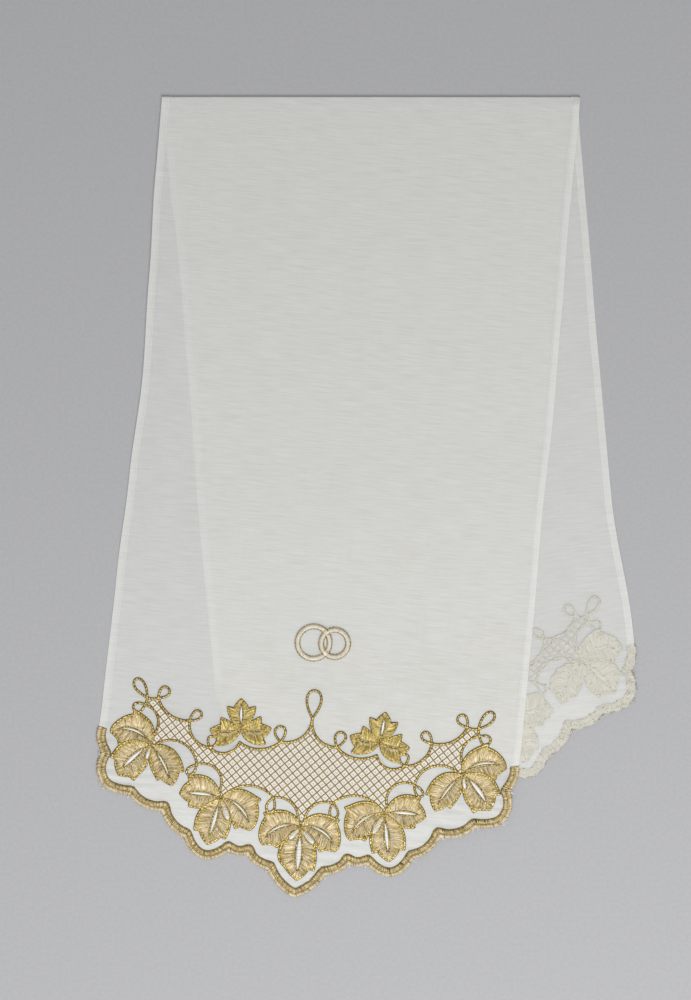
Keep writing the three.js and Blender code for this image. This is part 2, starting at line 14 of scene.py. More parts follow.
import bpy
import numpy as np
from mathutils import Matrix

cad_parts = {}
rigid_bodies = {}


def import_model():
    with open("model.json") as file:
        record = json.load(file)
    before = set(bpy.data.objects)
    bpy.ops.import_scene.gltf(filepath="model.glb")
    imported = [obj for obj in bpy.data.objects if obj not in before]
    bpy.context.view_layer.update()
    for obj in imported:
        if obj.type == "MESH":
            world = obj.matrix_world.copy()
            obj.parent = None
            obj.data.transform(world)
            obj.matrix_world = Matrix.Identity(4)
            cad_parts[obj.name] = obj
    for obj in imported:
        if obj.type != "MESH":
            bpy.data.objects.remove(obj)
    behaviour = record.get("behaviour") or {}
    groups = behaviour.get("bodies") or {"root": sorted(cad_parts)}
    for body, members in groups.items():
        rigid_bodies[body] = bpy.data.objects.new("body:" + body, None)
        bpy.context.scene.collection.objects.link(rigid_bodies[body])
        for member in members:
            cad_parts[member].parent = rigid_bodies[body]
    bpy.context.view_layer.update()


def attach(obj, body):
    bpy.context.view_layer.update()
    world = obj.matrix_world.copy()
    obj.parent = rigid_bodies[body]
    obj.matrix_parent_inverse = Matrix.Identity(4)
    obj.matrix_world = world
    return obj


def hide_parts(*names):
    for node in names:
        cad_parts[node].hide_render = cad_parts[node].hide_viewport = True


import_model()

Array = np.ndarray
Sockets = dict[str | int, object]
# A swag is u and v of both ends and how far it stands off. A loop is u and v of its crossing, its
# heading, length and width.
Row = tuple[float, float, float, float, float]
LOG = logging.getLogger("wedding_towel")
MM = 0.001

# The cloth as cut: it ends HEM_END_V along each half, where the scalloped edge takes over.
HALF_WIDTH = 190.0
TIP_V = 724.5
HEM_END_V = 588.0
HEM_WIDTH = 6.6
BACK_SHORT = 74.0
LEAN = math.radians(5.4)
FOLD_X, FOLD_Y = 3.5, 360.2
FOLD_HALF_WIDTH = 188.0

# One half of the scalloped end: the pull of each scallop, and the notch that ends it.
SCALLOPS = (
    (17, 718, 26, 701.5),
    (41, 698.6, 46, 689.3),
    (53.8, 692.8, 62.5, 688.3),
    (88.8, 710.3, 104, 679),
    (120, 673.8, 126, 657.5),
    (144.8, 659.3, 156.5, 646),
    (174, 646, 181, 639.5),
    (192, 627, 184.5, 611),
    (192.6, 598, 190, 588),
)


class Half(Enum):
    """The two halves of the folded towel."""

    FRONT = "front"
    BACK = "back"


class Side(Enum):
    """The two sides of the embroidered cloth."""

    RIGHT = "right"
    WRONG = "wrong"


class Rim(Enum):
    """How one side of a leaf's lobe is cut."""

    HOOKED = "hooked"
    BLUNT = "blunt"
    TOOTHED = "toothed"
    ROUND = "round"
    FORKED = "forked"


class Thread(IntEnum):
    """The threads of the right side, by their place among its pieces' materials."""

    GOLD = 0
    PALE = 1
    COTTON = 2
    CREAM = 3


class WrongThread(IntEnum):
    """The threads of the wrong side, by their place among its pieces' materials."""

    BOBBIN = 0
    GOLD = 1


def ease(low: float, high: float, at: Array) -> Array:
    """A value that rises smoothly from 0 at low to 1 at high."""
    share = np.clip((np.asarray(at, float) - low) / (high - low), 0, 1)
    return share * share * (3 - 2 * share)


def linear(hex_colour: str) -> tuple[float, float, float, float]:
    """Turns an sRGB hex colour to a linear one.

    Args:
        hex_colour: six hex digits.

    Returns:
        Red, green and blue, and 1 for an opaque colour.
    """
    parts = [int(hex_colour[i : i + 2], 16) / 255 for i in (0, 2, 4)]
    red, green, blue = (
        part / 12.92 if part <= 0.04045 else ((part + 0.055) / 1.055) ** 2.4 for part in parts
    )
    return red, green, blue, 1.0


# Paths in the plane of the cloth


def left_of(ways: Array) -> Array:
    """The same ways, turned a quarter turn to the left."""
    return np.stack([-ways[..., 1], ways[..., 0]], axis=-1)


def round_ways(turns: Array) -> Array:
    """Ways out from the middle of a circle, from turns in radians."""
    return np.stack([np.cos(turns), np.sin(turns)], axis=-1)


def reach_along(path: Array) -> Array:
    """How far along a path each of its points lies."""
    return np.concatenate([[0], np.cumsum(np.linalg.norm(np.diff(path, axis=0), axis=1))])


def points_at(at: Array, reach: Array, path: Array) -> Array:
    """Points of a path at places along it.

    Args:
        at: the places.
        reach: the place of each of the path's points.
        path: points, one row each.

    Returns:
        The points at those places, one row each.
    """
    return np.stack([np.interp(at, reach, line) for line in path.T], axis=-1)


def resample(path: Array, step: float) -> Array:
    """Spaces a path's points evenly.

    Args:
        path: points, one row each.
        step: about how far apart the new points are.

    Returns:
        The new points.
    """
    reach = reach_along(path)
    count = max(2, int(round(reach[-1] / step)) + 1)
    return points_at(np.linspace(0, reach[-1], count), reach, path)


def spline(points: Array, sharp: Array, per_span: int = 6) -> Array:
    """Draws a smooth curve through points, with corners at the sharp ones.

    Args:
        points: points, one row each.
        sharp: true where the curve has a corner.
        per_span: new points from one point to the next.

    Returns:
        Points along the curve.
    """
    before = np.concatenate([points[:1], points[:-1]])
    after = np.concatenate([points[1:], points[-1:]])
    slope = np.where(sharp[:, None], 0, (after - before) / 2)
    share = np.linspace(0, 1, per_span, endpoint=False)[:, None]
    spans = []
    for i in range(len(points) - 1):
        a, b = points[i], points[i + 1]
        from_slope = (b - a) if sharp[i] else slope[i]
        to_slope = (b - a) if sharp[i + 1] else slope[i + 1]
        s2, s3 = share**2, share**3
        spans.append(
            (2 * s3 - 3 * s2 + 1) * a
            + (s3 - 2 * s2 + share) * from_slope
            + (3 * s2 - 2 * s3) * b
            + (s3 - s2) * to_slope
        )
    return np.concatenate([*spans, points[-1:]])


def heading_vector(degrees: Array) -> Array:
    """Directions in the cloth's plane, from degrees off pointing at the towel's end."""
    turn = np.radians(degrees)
    return np.stack([np.sin(turn), np.cos(turn)], axis=-1)


def swag(row: Row) -> Array:
    """Points along an arc that stands off its chord.

    Args:
        row: the swag.

    Returns:
        Points, one row each.
    """
    start, end, sag = np.array(row[:2], float), np.array(row[2:4], float), row[4]
    chord = end - start
    length = np.linalg.norm(chord)
    off = left_of(chord) / length
    radius = (length**2 / 4 + sag**2) / (2 * sag)
    reach = math.asin(length / 2 / radius)
    half_turn = math.pi - reach if sag > radius else reach
    turn = np.linspace(-half_turn, half_turn, 33)[:, None]
    middle = (start + end) / 2 + off * (sag - radius)
    return middle + off * radius * np.cos(turn) + chord / length * radius * np.sin(turn)


def teardrop(row: Row) -> Array:
    """Points round a loop that starts and ends where it crosses itself.

    Args:
        row: the loop.

    Returns:
        Points, one row each, the last one on the first.
    """
    corner = np.array(row[:2], float)
    ahead = heading_vector(np.array(row[2])) * row[3] * 4 / 3
    across = left_of(ahead) / np.linalg.norm(ahead) * row[4] * math.sqrt(3)
    t = np.linspace(0, 1, 41)[:, None]
    return corner + 3 * t * (1 - t) ** 2 * (ahead + across) + 3 * t**2 * (1 - t) * (ahead - across)


def mirrored(path: Array, side: int = -1) -> Array:
    """The path on the left of the centre line, or as it is where side is 1."""
    return path * np.array([side, 1])


def scalloped_edge(step: float) -> Array:
    """The whole scalloped edge of an end, from left to right.

    Args:
        step: about how far apart the points are.

    Returns:
        Points, one row each.
    """
    start = np.array([0, TIP_V])
    spans = [start[None]]
    for bulge_u, bulge_v, notch_u, notch_v in SCALLOPS:
        bulge, notch = np.array([bulge_u, bulge_v]), np.array([notch_u, notch_v])
        count = max(2, int(round(np.linalg.norm(notch - start) / step)))
        t = np.linspace(0, 1, count + 1)[1:, None]
        spans.append((1 - t) ** 2 * start + 2 * t * (1 - t) * bulge + t**2 * notch)
        start = notch
    right = np.concatenate(spans)
    return np.concatenate([mirrored(right[:0:-1]), right])


# How the towel lies


@dataclass(frozen=True)
class HalfPlan:
    """How one half of the towel lies, seen from above."""

    half: Half
    # 1 where the design faces up with its right side, and -1 where it is turned over.
    side: int
    # -1 where the half leans to the left below the fold, and 1 to the right.
    sway: int
    # How much shorter than the front half it is.
    short: float
    # How its edges run: how far below the fold, and where the left and the right edge are there.
    edges: tuple[tuple[float, float, float], ...]

    def place(self, u: Array, v: Array) -> tuple[Array, Array]:
        """Where places on this half lie.

        Args:
            u: across the cloth, to the right as seen from above.
            v: along the cloth.

        Returns:
            x and y.
        """
        rows = np.array(self.edges)
        along = np.asarray(v, float) - self.short
        index = np.clip(np.searchsorted(rows[:, 0], along, "right") - 1, 0, len(rows) - 2)
        share = ease(0, 1, (along - rows[index, 0]) / (rows[index + 1, 0] - rows[index, 0]))
        left = rows[index, 1] + share * (rows[index + 1, 1] - rows[index, 1])
        right = rows[index, 2] + share * (rows[index + 1, 2] - rows[index, 2])
        across = (left + right) / 2 + np.asarray(u, float) / HALF_WIDTH * (right - left) / 2
        x = FOLD_X + across * math.cos(LEAN) + self.sway * along * math.sin(LEAN)
        y = FOLD_Y + self.sway * across * math.sin(LEAN) - along * math.cos(LEAN)
        return x, y

    def fold_v(self, u: Array) -> Array:
        """v at which the threads at u meet the fold."""
        return self.short + self.sway * u * FOLD_HALF_WIDTH / HALF_WIDTH * math.tan(LEAN)


FRONT = HalfPlan(
    half=Half.FRONT,
    side=1,
    sway=-1,
    short=0,
    edges=(
        (-20, -188, 188),
        (90, -187, 188),
        (180, -184, 189.5),
        (270, -181.5, 190.5),
        (360, -185, 189),
        (450, -188, 190),
        (565, -190, 190),
        (600, -191.5, 188.8),
    ),
)
BACK = HalfPlan(
    half=Half.BACK,
    side=-1,
    sway=1,
    short=BACK_SHORT,
    edges=(
        (-20, -188, 188),
        (60, -188, 184.5),
        (130, -186.5, 184),
        (240, -188, 182.5),
        (380, -190.5, 182),
        (500, -190, 190),
    ),
)


@dataclass
class ClothForm:
    """The towel's two layers as they lie: heights, and how the cloth eases and puckers."""

    # Each layer's room in height, and how much of it the cloth and its turned-in hems take.
    room: float = 1.0
    thickness: float = 0.44
    hem_extra: float = 0.34
    hem_ends_at: float = 575
    layer_gap: float = 0.8
    # The back end is held up by its own embroidery, from one v to another.
    under_lift: float = 1.3
    lift_from: float = 380
    lift_to: float = 470
    # The front half comes down outside the back one, from so far off its outline and over so much.
    drop_start: float = 12
    drop_run: float = 80
    grid_step: float = 4
    # The cloth is drawn flat by the fold, over this length.
    fold_run: float = 60
    # Soft ridges and troughs: x, y, heading from +Y, length, width and height.
    soft_folds: tuple[tuple[float, float, float, float, float, float], ...] = (
        (-60, 210, 84, 150, 26, 0.24),
        (70, 120, 97, 130, 22, 0.2),
        (-20, 20, 88, 190, 30, 0.26),
        (90, -70, 101, 120, 24, 0.22),
        (-90, -120, 80, 120, 26, 0.24),
        (30, -190, 92, 150, 20, 0.2),
        (-185, 40, 8, 90, 14, 0.3),
        (-200, -110, 10, 80, 12, 0.26),
        (195, 30, -8, 90, 12, 0.26),
        (215, -90, -9, 70, 12, 0.26),
    )
    # Puckers that the stitching pulls up: length, how long they run across, height, and phase.
    pucker_waves: tuple[tuple[float, float, float, float], ...] = (
        (9.5, 47, 0.32, 0.4),
        (13.5, 71, 0.27, 2.1),
        (7.3, 33, 0.17, 4.4),
    )
    # They start below the lattice, which lies lower at the middle of the end.
    pucker_start: float = 650
    pucker_middle: float = 20
    pucker_slope: float = 0.42
    pucker_run: float = 40
    # The back half is pressed flatter by the front one.
    pressed: float = 0.5
    # A grid of places, and how far each lies outside the back half's outline.
    xs: Array = field(init=False)
    ys: Array = field(init=False)
    outside: Array = field(init=False)

    def __post_init__(self) -> None:
        """Lays out the grid, and measures its distances."""
        edge = scalloped_edge(6)
        down = np.linspace(0, 1, 60)
        sides = []
        for u in (-HALF_WIDTH, HALF_WIDTH):
            start = BACK.fold_v(np.array(u))
            sides.append(np.stack(BACK.place(u, start + (HEM_END_V - start) * down), axis=1))
        end = np.stack(BACK.place(edge[:, 0], edge[:, 1]), axis=1)
        outline = np.concatenate([sides[0], end, sides[1][::-1]])
        self.xs = np.arange(-260, 264, self.grid_step)
        self.ys = np.arange(-384, 388, self.grid_step)
        px, py = np.meshgrid(self.xs, self.ys, indexing="ij")
        best = np.full(px.shape, 1e9)
        crossings = np.zeros(px.shape, int)
        for a, b in zip(outline, np.roll(outline, -1, axis=0)):
            step = b - a
            size = max(step @ step, 1e-9)
            share = np.clip(((px - a[0]) * step[0] + (py - a[1]) * step[1]) / size, 0, 1)
            gap = np.hypot(px - a[0] - share * step[0], py - a[1] - share * step[1])
            best = np.minimum(best, gap)
            if a[1] != b[1]:
                spans = (a[1] > py) != (b[1] > py)
                crossings += spans & (px < a[0] + step[0] * (py - a[1]) / step[1])
        self.outside = np.where(crossings % 2 == 1, 0, best)

    def outside_back(self, x: Array, y: Array) -> Array:
        """How far places lie outside the back half's outline, or 0 inside it.

        Args:
            x: places, seen from above.
            y: places, seen from above.

        Returns:
            The distances.
        """
        i = np.clip((x - self.xs[0]) / self.grid_step, 0, len(self.xs) - 1.001)
        j = np.clip((y - self.ys[0]) / self.grid_step, 0, len(self.ys) - 1.001)
        i0, j0 = i.astype(int), j.astype(int)
        fi, fj = i - i0, j - j0
        low = self.outside[i0, j0] * (1 - fi) + self.outside[i0 + 1, j0] * fi
        high = self.outside[i0, j0 + 1] * (1 - fi) + self.outside[i0 + 1, j0 + 1] * fi
        return low * (1 - fj) + high * fj

    def base(self, plan: HalfPlan, u: Array, v: Array) -> Array:
        """Height of what a half lies on.

        Args:
            plan: the half.
            u: across the cloth.
            v: along the cloth.

        Returns:
            The heights.
        """
        if plan.half is Half.BACK:
            return self.under_lift * ease(self.lift_from, self.lift_to, v)
        x, y = plan.place(u, v)
        back_v = (x - FOLD_X) * math.sin(LEAN) + (FOLD_Y - y) * math.cos(LEAN) + BACK_SHORT
        over = self.under_lift * ease(self.lift_from, self.lift_to, back_v)
        over = over + self.room + self.layer_gap
        drop = ease(self.drop_start, self.drop_start + self.drop_run, self.outside_back(x, y))
        return over * (1 - drop)

    def softness(self, x: Array, y: Array) -> Array:
        """Height that the soft ridges and troughs add.

        Args:
            x: places, seen from above.
            y: places, seen from above.

        Returns:
            The heights.
        """
        total = np.zeros(np.shape(x))
        for at_x, at_y, heading, length, width, height in self.soft_folds:
            ahead = heading_vector(np.array(heading))
            along = (x - at_x) * ahead[0] + (y - at_y) * ahead[1]
            across = -(x - at_x) * ahead[1] + (y - at_y) * ahead[0]
            total += height * np.exp(-((along / length) ** 2) - (across / width) ** 2)
        return total

    def puckers(self, plan: HalfPlan, u: Array, v: Array) -> Array:
        """Height of the puckers between and round the embroidery, never below 0.

        Args:
            plan: the half.
            u: across the cloth.
            v: along the cloth.

        Returns:
            The heights.
        """
        total = np.zeros(np.shape(u))
        # Each wave winds and fades on its way across, by its own phase.
        for length, run, height, phase in self.pucker_waves:
            bend = 1.9 * np.sin(u / run + phase) + 1.1 * np.sin(u / (run * 0.43) + 2 * phase)
            strength = 0.55 + 0.45 * np.sin(u / (run * 0.7) + 3 * phase)
            total += height * strength * (1 + np.sin(2 * math.pi * v / length + bend))
        beside = np.maximum(np.abs(u) - self.pucker_middle, 0)
        start = self.pucker_start - self.pucker_slope * beside
        weight = 1.0 if plan.half is Half.FRONT else self.pressed
        return total * ease(0, self.pucker_run, v - start) * weight

    def middle(self, plan: HalfPlan, u: Array, v: Array) -> Array:
        """Height of the middle of the cloth's thickness.

        Args:
            plan: the half.
            u: across the cloth.
            v: along the cloth.

        Returns:
            The heights.
        """
        x, y = plan.place(u, v)
        height = self.base(plan, u, v) + self.room / 2
        soft = self.softness(x, y) * ease(0, self.fold_run, v - plan.short)
        return height + soft + self.puckers(plan, u, v)

    def half_thickness(self, u: Array, v: Array) -> Array:
        """Half the cloth's thickness, which is more where the side hems are turned in.

        Args:
            u: across the cloth.
            v: along the cloth.

        Returns:
            The half-thicknesses.
        """
        start = HALF_WIDTH - HEM_WIDTH
        turned_in = ease(start - 0.8, start + 0.2, np.abs(u))
        above_end = 1 - ease(self.hem_ends_at, HEM_END_V, v)
        return self.thickness / 2 + self.hem_extra / 2 * turned_in * above_end

    def seat(self, plan: HalfPlan, side: Side, places: Array) -> Array:
        """Where places that stand off a side of the cloth are.

        Args:
            plan: the half.
            side: the side of the cloth. The design is turned round where it faces down.
            places: u, v and height off the cloth, one row each.

        Returns:
            x, y and z, one row each.
        """
        u, v = places[:, 0] * plan.side, places[:, 1]
        x, y = plan.place(u, v)
        up = 1 if (plan.half is Half.FRONT) == (side is Side.RIGHT) else -1
        face = self.middle(plan, u, v) + up * self.half_thickness(u, v)
        return np.stack([x, y, face + up * places[:, 2]], axis=1)


# Finishes


def add_node(
    tree: bpy.types.NodeTree, kind: str, inputs: Sockets, stops: tuple = (), **settings: object
) -> bpy.types.Node:
    """Adds a node with its settings, its input values and its links.

    Args:
        tree: the node tree.
        kind: the node's class name, without the ShaderNode that it starts with.
        inputs: a value or another node's output for each input, by name.
        stops: place and hex colour of each stop of a ramp.
        settings: the node's own settings.

    Returns:
        The node.
    """
    node = tree.nodes.new(f"ShaderNode{kind}")
    for name, value in settings.items():
        setattr(node, name, value)
    for name, value in inputs.items():
        if isinstance(value, bpy.types.NodeSocket):
            tree.links.new(value, node.inputs[name])
        else:
            node.inputs[name].default_value = value
    for i, (place, colour) in enumerate(stops):
        stop = node.color_ramp.elements[i] if i < 2 else node.color_ramp.elements.new(place)
        stop.position, stop.color = place, linear(colour)
    return node


@dataclass(frozen=True)
class Finish:
    """What a surface is made of. Each kind says how its surface looks."""

    name: str

    def surface(self, tree: bpy.types.NodeTree) -> Sockets:
        """The shader's inputs, with the nodes that they come from."""
        raise NotImplementedError

    def make(self) -> bpy.types.Material:
        """Makes the material.

        Returns:
            The material.
        """
        material = bpy.data.materials.new(self.name)
        material.use_nodes = True
        tree = material.node_tree
        tree.nodes.clear()
        shader = add_node(tree, "BsdfPrincipled", self.surface(tree))
        add_node(tree, "OutputMaterial", {"Surface": shader.outputs["BSDF"]})
        return material


@dataclass(frozen=True)
class LinenFinish(Finish):
    """Fine bleached linen in plain weave: sheer, so that what is below shows, with a soft sheen."""

    pale: str
    shaded: str
    # How much one face of the cloth hides, and how much at the stiffened end.
    cover: float
    end_cover: float
    slub_length: float = 26.0
    slub_width: float = 1.1
    warp_slub_length: float = 60.0
    warp_share: float = 0.1
    # The weave is drawn a little coarser than the real 0.45 mm, which is finer than a pixel.
    thread_pitch: float = 0.62

    def surface(self, tree: bpy.types.NodeTree) -> Sockets:
        """The cloth's weave, streaks and sheerness, over its own UV map in metres.

        Args:
            tree: takes the nodes.

        Returns:
            The shader's inputs.
        """
        cloth = add_node(tree, "UVMap", {}, uv_map="cloth").outputs["UV"]
        # Thick places of the threads: fine light streaks of the weft, and fainter ones of the warp.
        streaks = []
        for across, along, detail, roughness in (
            (self.slub_length, self.slub_width, 2.0, 0.6),
            (self.slub_width, self.warp_slub_length, 1.0, 0.5),
        ):
            scale = (1 / (across * MM), 1 / (along * MM), 1)
            stretch = add_node(tree, "Mapping", {"Vector": cloth, "Scale": scale}).outputs["Vector"]
            settings = {"Vector": stretch, "Scale": 1.0, "Detail": detail, "Roughness": roughness}
            streaks.append(add_node(tree, "TexNoise", settings).outputs["Fac"])
        mix = {"Factor": self.warp_share, "A": streaks[0], "B": streaks[1]}
        slubs = add_node(tree, "Mix", mix, data_type="FLOAT").outputs["Result"]
        stops = ((0.36, self.shaded), (0.62, self.pale))
        tint = add_node(tree, "ValToRGB", {"Fac": slubs}, stops=stops)
        # The weave itself: a wave texture of scale 1 has a band every 2 pi / 20 units.
        bands = {"Vector": cloth, "Scale": 2 * math.pi / (20 * self.thread_pitch * MM)}
        warp, weft = (
            add_node(tree, "TexWave", bands, bands_direction=way).outputs["Fac"] for way in "XY"
        )
        weave = add_node(tree, "Math", {0: warp, 1: weft}, operation="ADD").outputs["Value"]
        fine = add_node(tree, "Bump", {"Height": weave, "Strength": 0.25, "Distance": 0.08 * MM})
        bump = {"Height": slubs, "Strength": 0.5, "Distance": 0.5 * MM}
        relief = add_node(tree, "Bump", bump | {"Normal": fine.outputs["Normal"]})
        # The embroidered end is stiffened, and less sheer.
        stiff = add_node(tree, "Attribute", {}, attribute_name="stiff").outputs["Fac"]
        sheer = {"Value": stiff, "To Min": self.cover, "To Max": self.end_cover}
        return {
            "Base Color": tint.outputs["Color"],
            "Roughness": 0.82,
            "Alpha": add_node(tree, "MapRange", sheer).outputs["Result"],
            "Specular IOR Level": 0.25,
            "Sheen Weight": 0.12,
            "Sheen Roughness": 0.5,
            "Normal": relief.outputs["Normal"],
        }


@dataclass(frozen=True)
class ThreadFinish(Finish):
    """Embroidery thread, coloured by each point's tone: its own uneven tone, with shade painted at
    a stitch's feet and a highlight painted on its crest.
    """

    # The ramp from tone 0 to 1. The dark colour paints the shade at the feet and between stitches,
    # and the light one the highlight on the crests, besides the thread's uneven tone.
    dark: str
    body: str
    light: str
    metallic: float
    roughness: float
    fibre: float = 0.7

    def surface(self, tree: bpy.types.NodeTree) -> Sockets:
        """The thread's tone, with its painted shade and highlights, and its fibres as a fine
        relief.

        Args:
            tree: takes the nodes.

        Returns:
            The shader's inputs.
        """
        tone = add_node(tree, "Attribute", {}, attribute_name="tone").outputs["Fac"]
        stops = ((0.0, self.dark), (1.0, self.light), (0.5, self.body))
        colour = add_node(tree, "ValToRGB", {"Fac": tone}, stops=stops)
        place = add_node(tree, "TexCoord", {}).outputs["Object"]
        grain = {"Vector": place, "Scale": 1 / (self.fibre * MM), "Detail": 2.0}
        fibres = add_node(tree, "TexNoise", grain).outputs["Fac"]
        bump = add_node(tree, "Bump", {"Height": fibres, "Strength": 0.5, "Distance": 0.2 * MM})
        spread = {
            "Value": fibres,
            "From Min": 0.3,
            "From Max": 0.7,
            "To Min": self.roughness - 0.08,
            "To Max": self.roughness + 0.1,
        }
        return {
            "Base Color": colour.outputs["Color"],
            "Metallic": self.metallic,
            "Roughness": add_node(tree, "MapRange", spread).outputs["Result"],
            "Normal": bump.outputs["Normal"],
        }


@dataclass(frozen=True)
class PaperFinish(Finish):
    """Matt pale background paper, which the towel lies on."""

    name: str = "matt_background_paper"
    pale: str = "B3B3B5"
    shaded: str = "AFAFB1"
    grain: float = 3.0

    def surface(self, tree: bpy.types.NodeTree) -> Sockets:
        """The paper's faint mottle.

        Args:
            tree: takes the nodes.

        Returns:
            The shader's inputs.
        """
        place = add_node(tree, "TexCoord", {}).outputs["Object"]
        mottle = {"Vector": place, "Scale": 1 / (self.grain * MM), "Detail": 3.0}
        fibres = add_node(tree, "TexNoise", mottle).outputs["Fac"]
        stops = ((0.35, self.shaded), (0.65, self.pale))
        tint = add_node(tree, "ValToRGB", {"Fac": fibres}, stops=stops).outputs["Color"]
        return {"Base Color": tint, "Roughness": 0.9, "Specular IOR Level": 0.2}


# Metal-wrapped gold embroidery thread: a highlight painted bright on the crest of each stitch, and
# olive shade painted between stitches.
GOLD = ThreadFinish("metallic_gold_thread", "4E4119", "A88B38", "F8E79C", 0.4, 0.36)
# The same thread laid thinly, with the white cloth between, as the leaves and rings are filled.
PALE_GOLD = ThreadFinish("pale_gold_fill_thread", "78612A", "CDB378", "FBF0D0", 0.25, 0.42)
# Cream cotton bobbin thread, which makes the wrong side of the embroidery: dull and matt.
BOBBIN = ThreadFinish("cream_cotton_bobbin_thread", "BDBAAE", "C9C6B9", "D6D3C8", 0.0, 0.75)
# Cream cotton under-thread of the lattice: flat and matt, a little warmer than the linen.
CREAM = ThreadFinish("cream_cotton_under_thread", "D2CBBB", "DBD4C5", "E4DDD0", 0.0, 0.7)
# White cotton sewing thread of the side hems. In the leaves' slits it is painted light.
COTTON = ThreadFinish("white_cotton_sewing_thread", "C9C8C2", "EDECE7", "FBFAF6", 0.0, 0.7)
# One layer of the linen, and the side hem, where it is turned in and lies three deep.
LINEN = LinenFinish("sheer_bleached_linen", "F9F9F6", "EEEDE8", 0.41, 0.52)
LINEN_HEM = LinenFinish("turned_linen_hem", "F9F9F6", "F0EFEA", 0.54, 0.56)


# Meshes


def set_point_values(piece: bpy.types.Object, name: str, values: Array) -> None:
    """Gives each point of a piece a number, which its finish reads."""
    attribute = piece.data.attributes.new(name, "FLOAT", "POINT")
    attribute.data.foreach_set("value", values.astype(np.float32))


def mesh_object(
    name: str,
    points: Array,
    polygons: list[Array],
    finish_ids: list[Array],
    materials: list[bpy.types.Material],
    smooth: bool = True,
) -> bpy.types.Object:
    """Makes a mesh object at the origin, with its faces turned outwards.

    Args:
        name: the piece's name.
        points: x, y and z of each corner, in millimetres.
        polygons: faces as corner numbers, one array for each number of corners.
        finish_ids: which material each face has, as the faces are given.
        materials: the piece's materials.
        smooth: whether the light runs smoothly over its faces.

    Returns:
        The object.
    """
    volume = 0.0
    for faces in polygons:
        for k in range(1, faces.shape[1] - 1):
            a, b, c = points[faces[:, 0]], points[faces[:, k]], points[faces[:, k + 1]]
            volume += np.einsum("ij,ij->", a - points[0], np.cross(b - points[0], c - points[0]))
    if volume < 0:
        polygons = [faces[:, ::-1] for faces in polygons]
    mesh = bpy.data.meshes.new(name)
    mesh.vertices.add(len(points))
    mesh.vertices.foreach_set("co", (points * MM).astype(np.float32).ravel())
    sizes = np.concatenate([np.full(len(faces), faces.shape[1]) for faces in polygons])
    loops = np.concatenate([faces.ravel() for faces in polygons])
    mesh.loops.add(len(loops))
    mesh.loops.foreach_set("vertex_index", loops.astype(np.int32))
    mesh.polygons.add(len(sizes))
    starts = np.concatenate([[0], np.cumsum(sizes)[:-1]]).astype(np.int32)
    mesh.polygons.foreach_set("loop_start", starts)
    mesh.polygons.foreach_set("material_index", np.concatenate(finish_ids).astype(np.int32))
    mesh.update(calc_edges=True)
    mesh.validate()
    if not smooth:
        mesh.shade_flat()
    for material in materials:
        mesh.materials.append(material)
    made = bpy.data.objects.new(name, mesh)
    bpy.context.scene.collection.objects.link(made)
    return made


# A thread's section, as share of its width and height, and the tone at each corner, which paints
# shade towards the feet and a highlight on the crest.
# Painted dark at the feet, as shade.
LOW_SECTION = np.array([(-0.5, 0.0, 0.12), (0.0, 1.0, 1.0), (0.5, 0.0, 0.12)])
# Flat, and light all over.
FLAT_SECTION = np.array([(-0.5, 0.0, 1.0), (-0.4, 1.0, 1.0), (0.4, 1.0, 1.0), (0.5, 0.0, 1.0)])
# Close between others, so that the shade painted at its feet is fainter.
SATIN_SECTION = np.array([(-0.5, 0.0, 0.62), (0.0, 1.0, 1.0), (0.5, 0.0, 0.62)])
# Round, as a cord, with shade painted at its feet and a highlight on its crest.
ROUND_SECTION = np.array(
    [(-0.5, 0, 0), (-0.34, 0.66, 0.36), (0, 1, 1), (0.34, 0.66, 0.36), (0.5, 0, 0)]
)


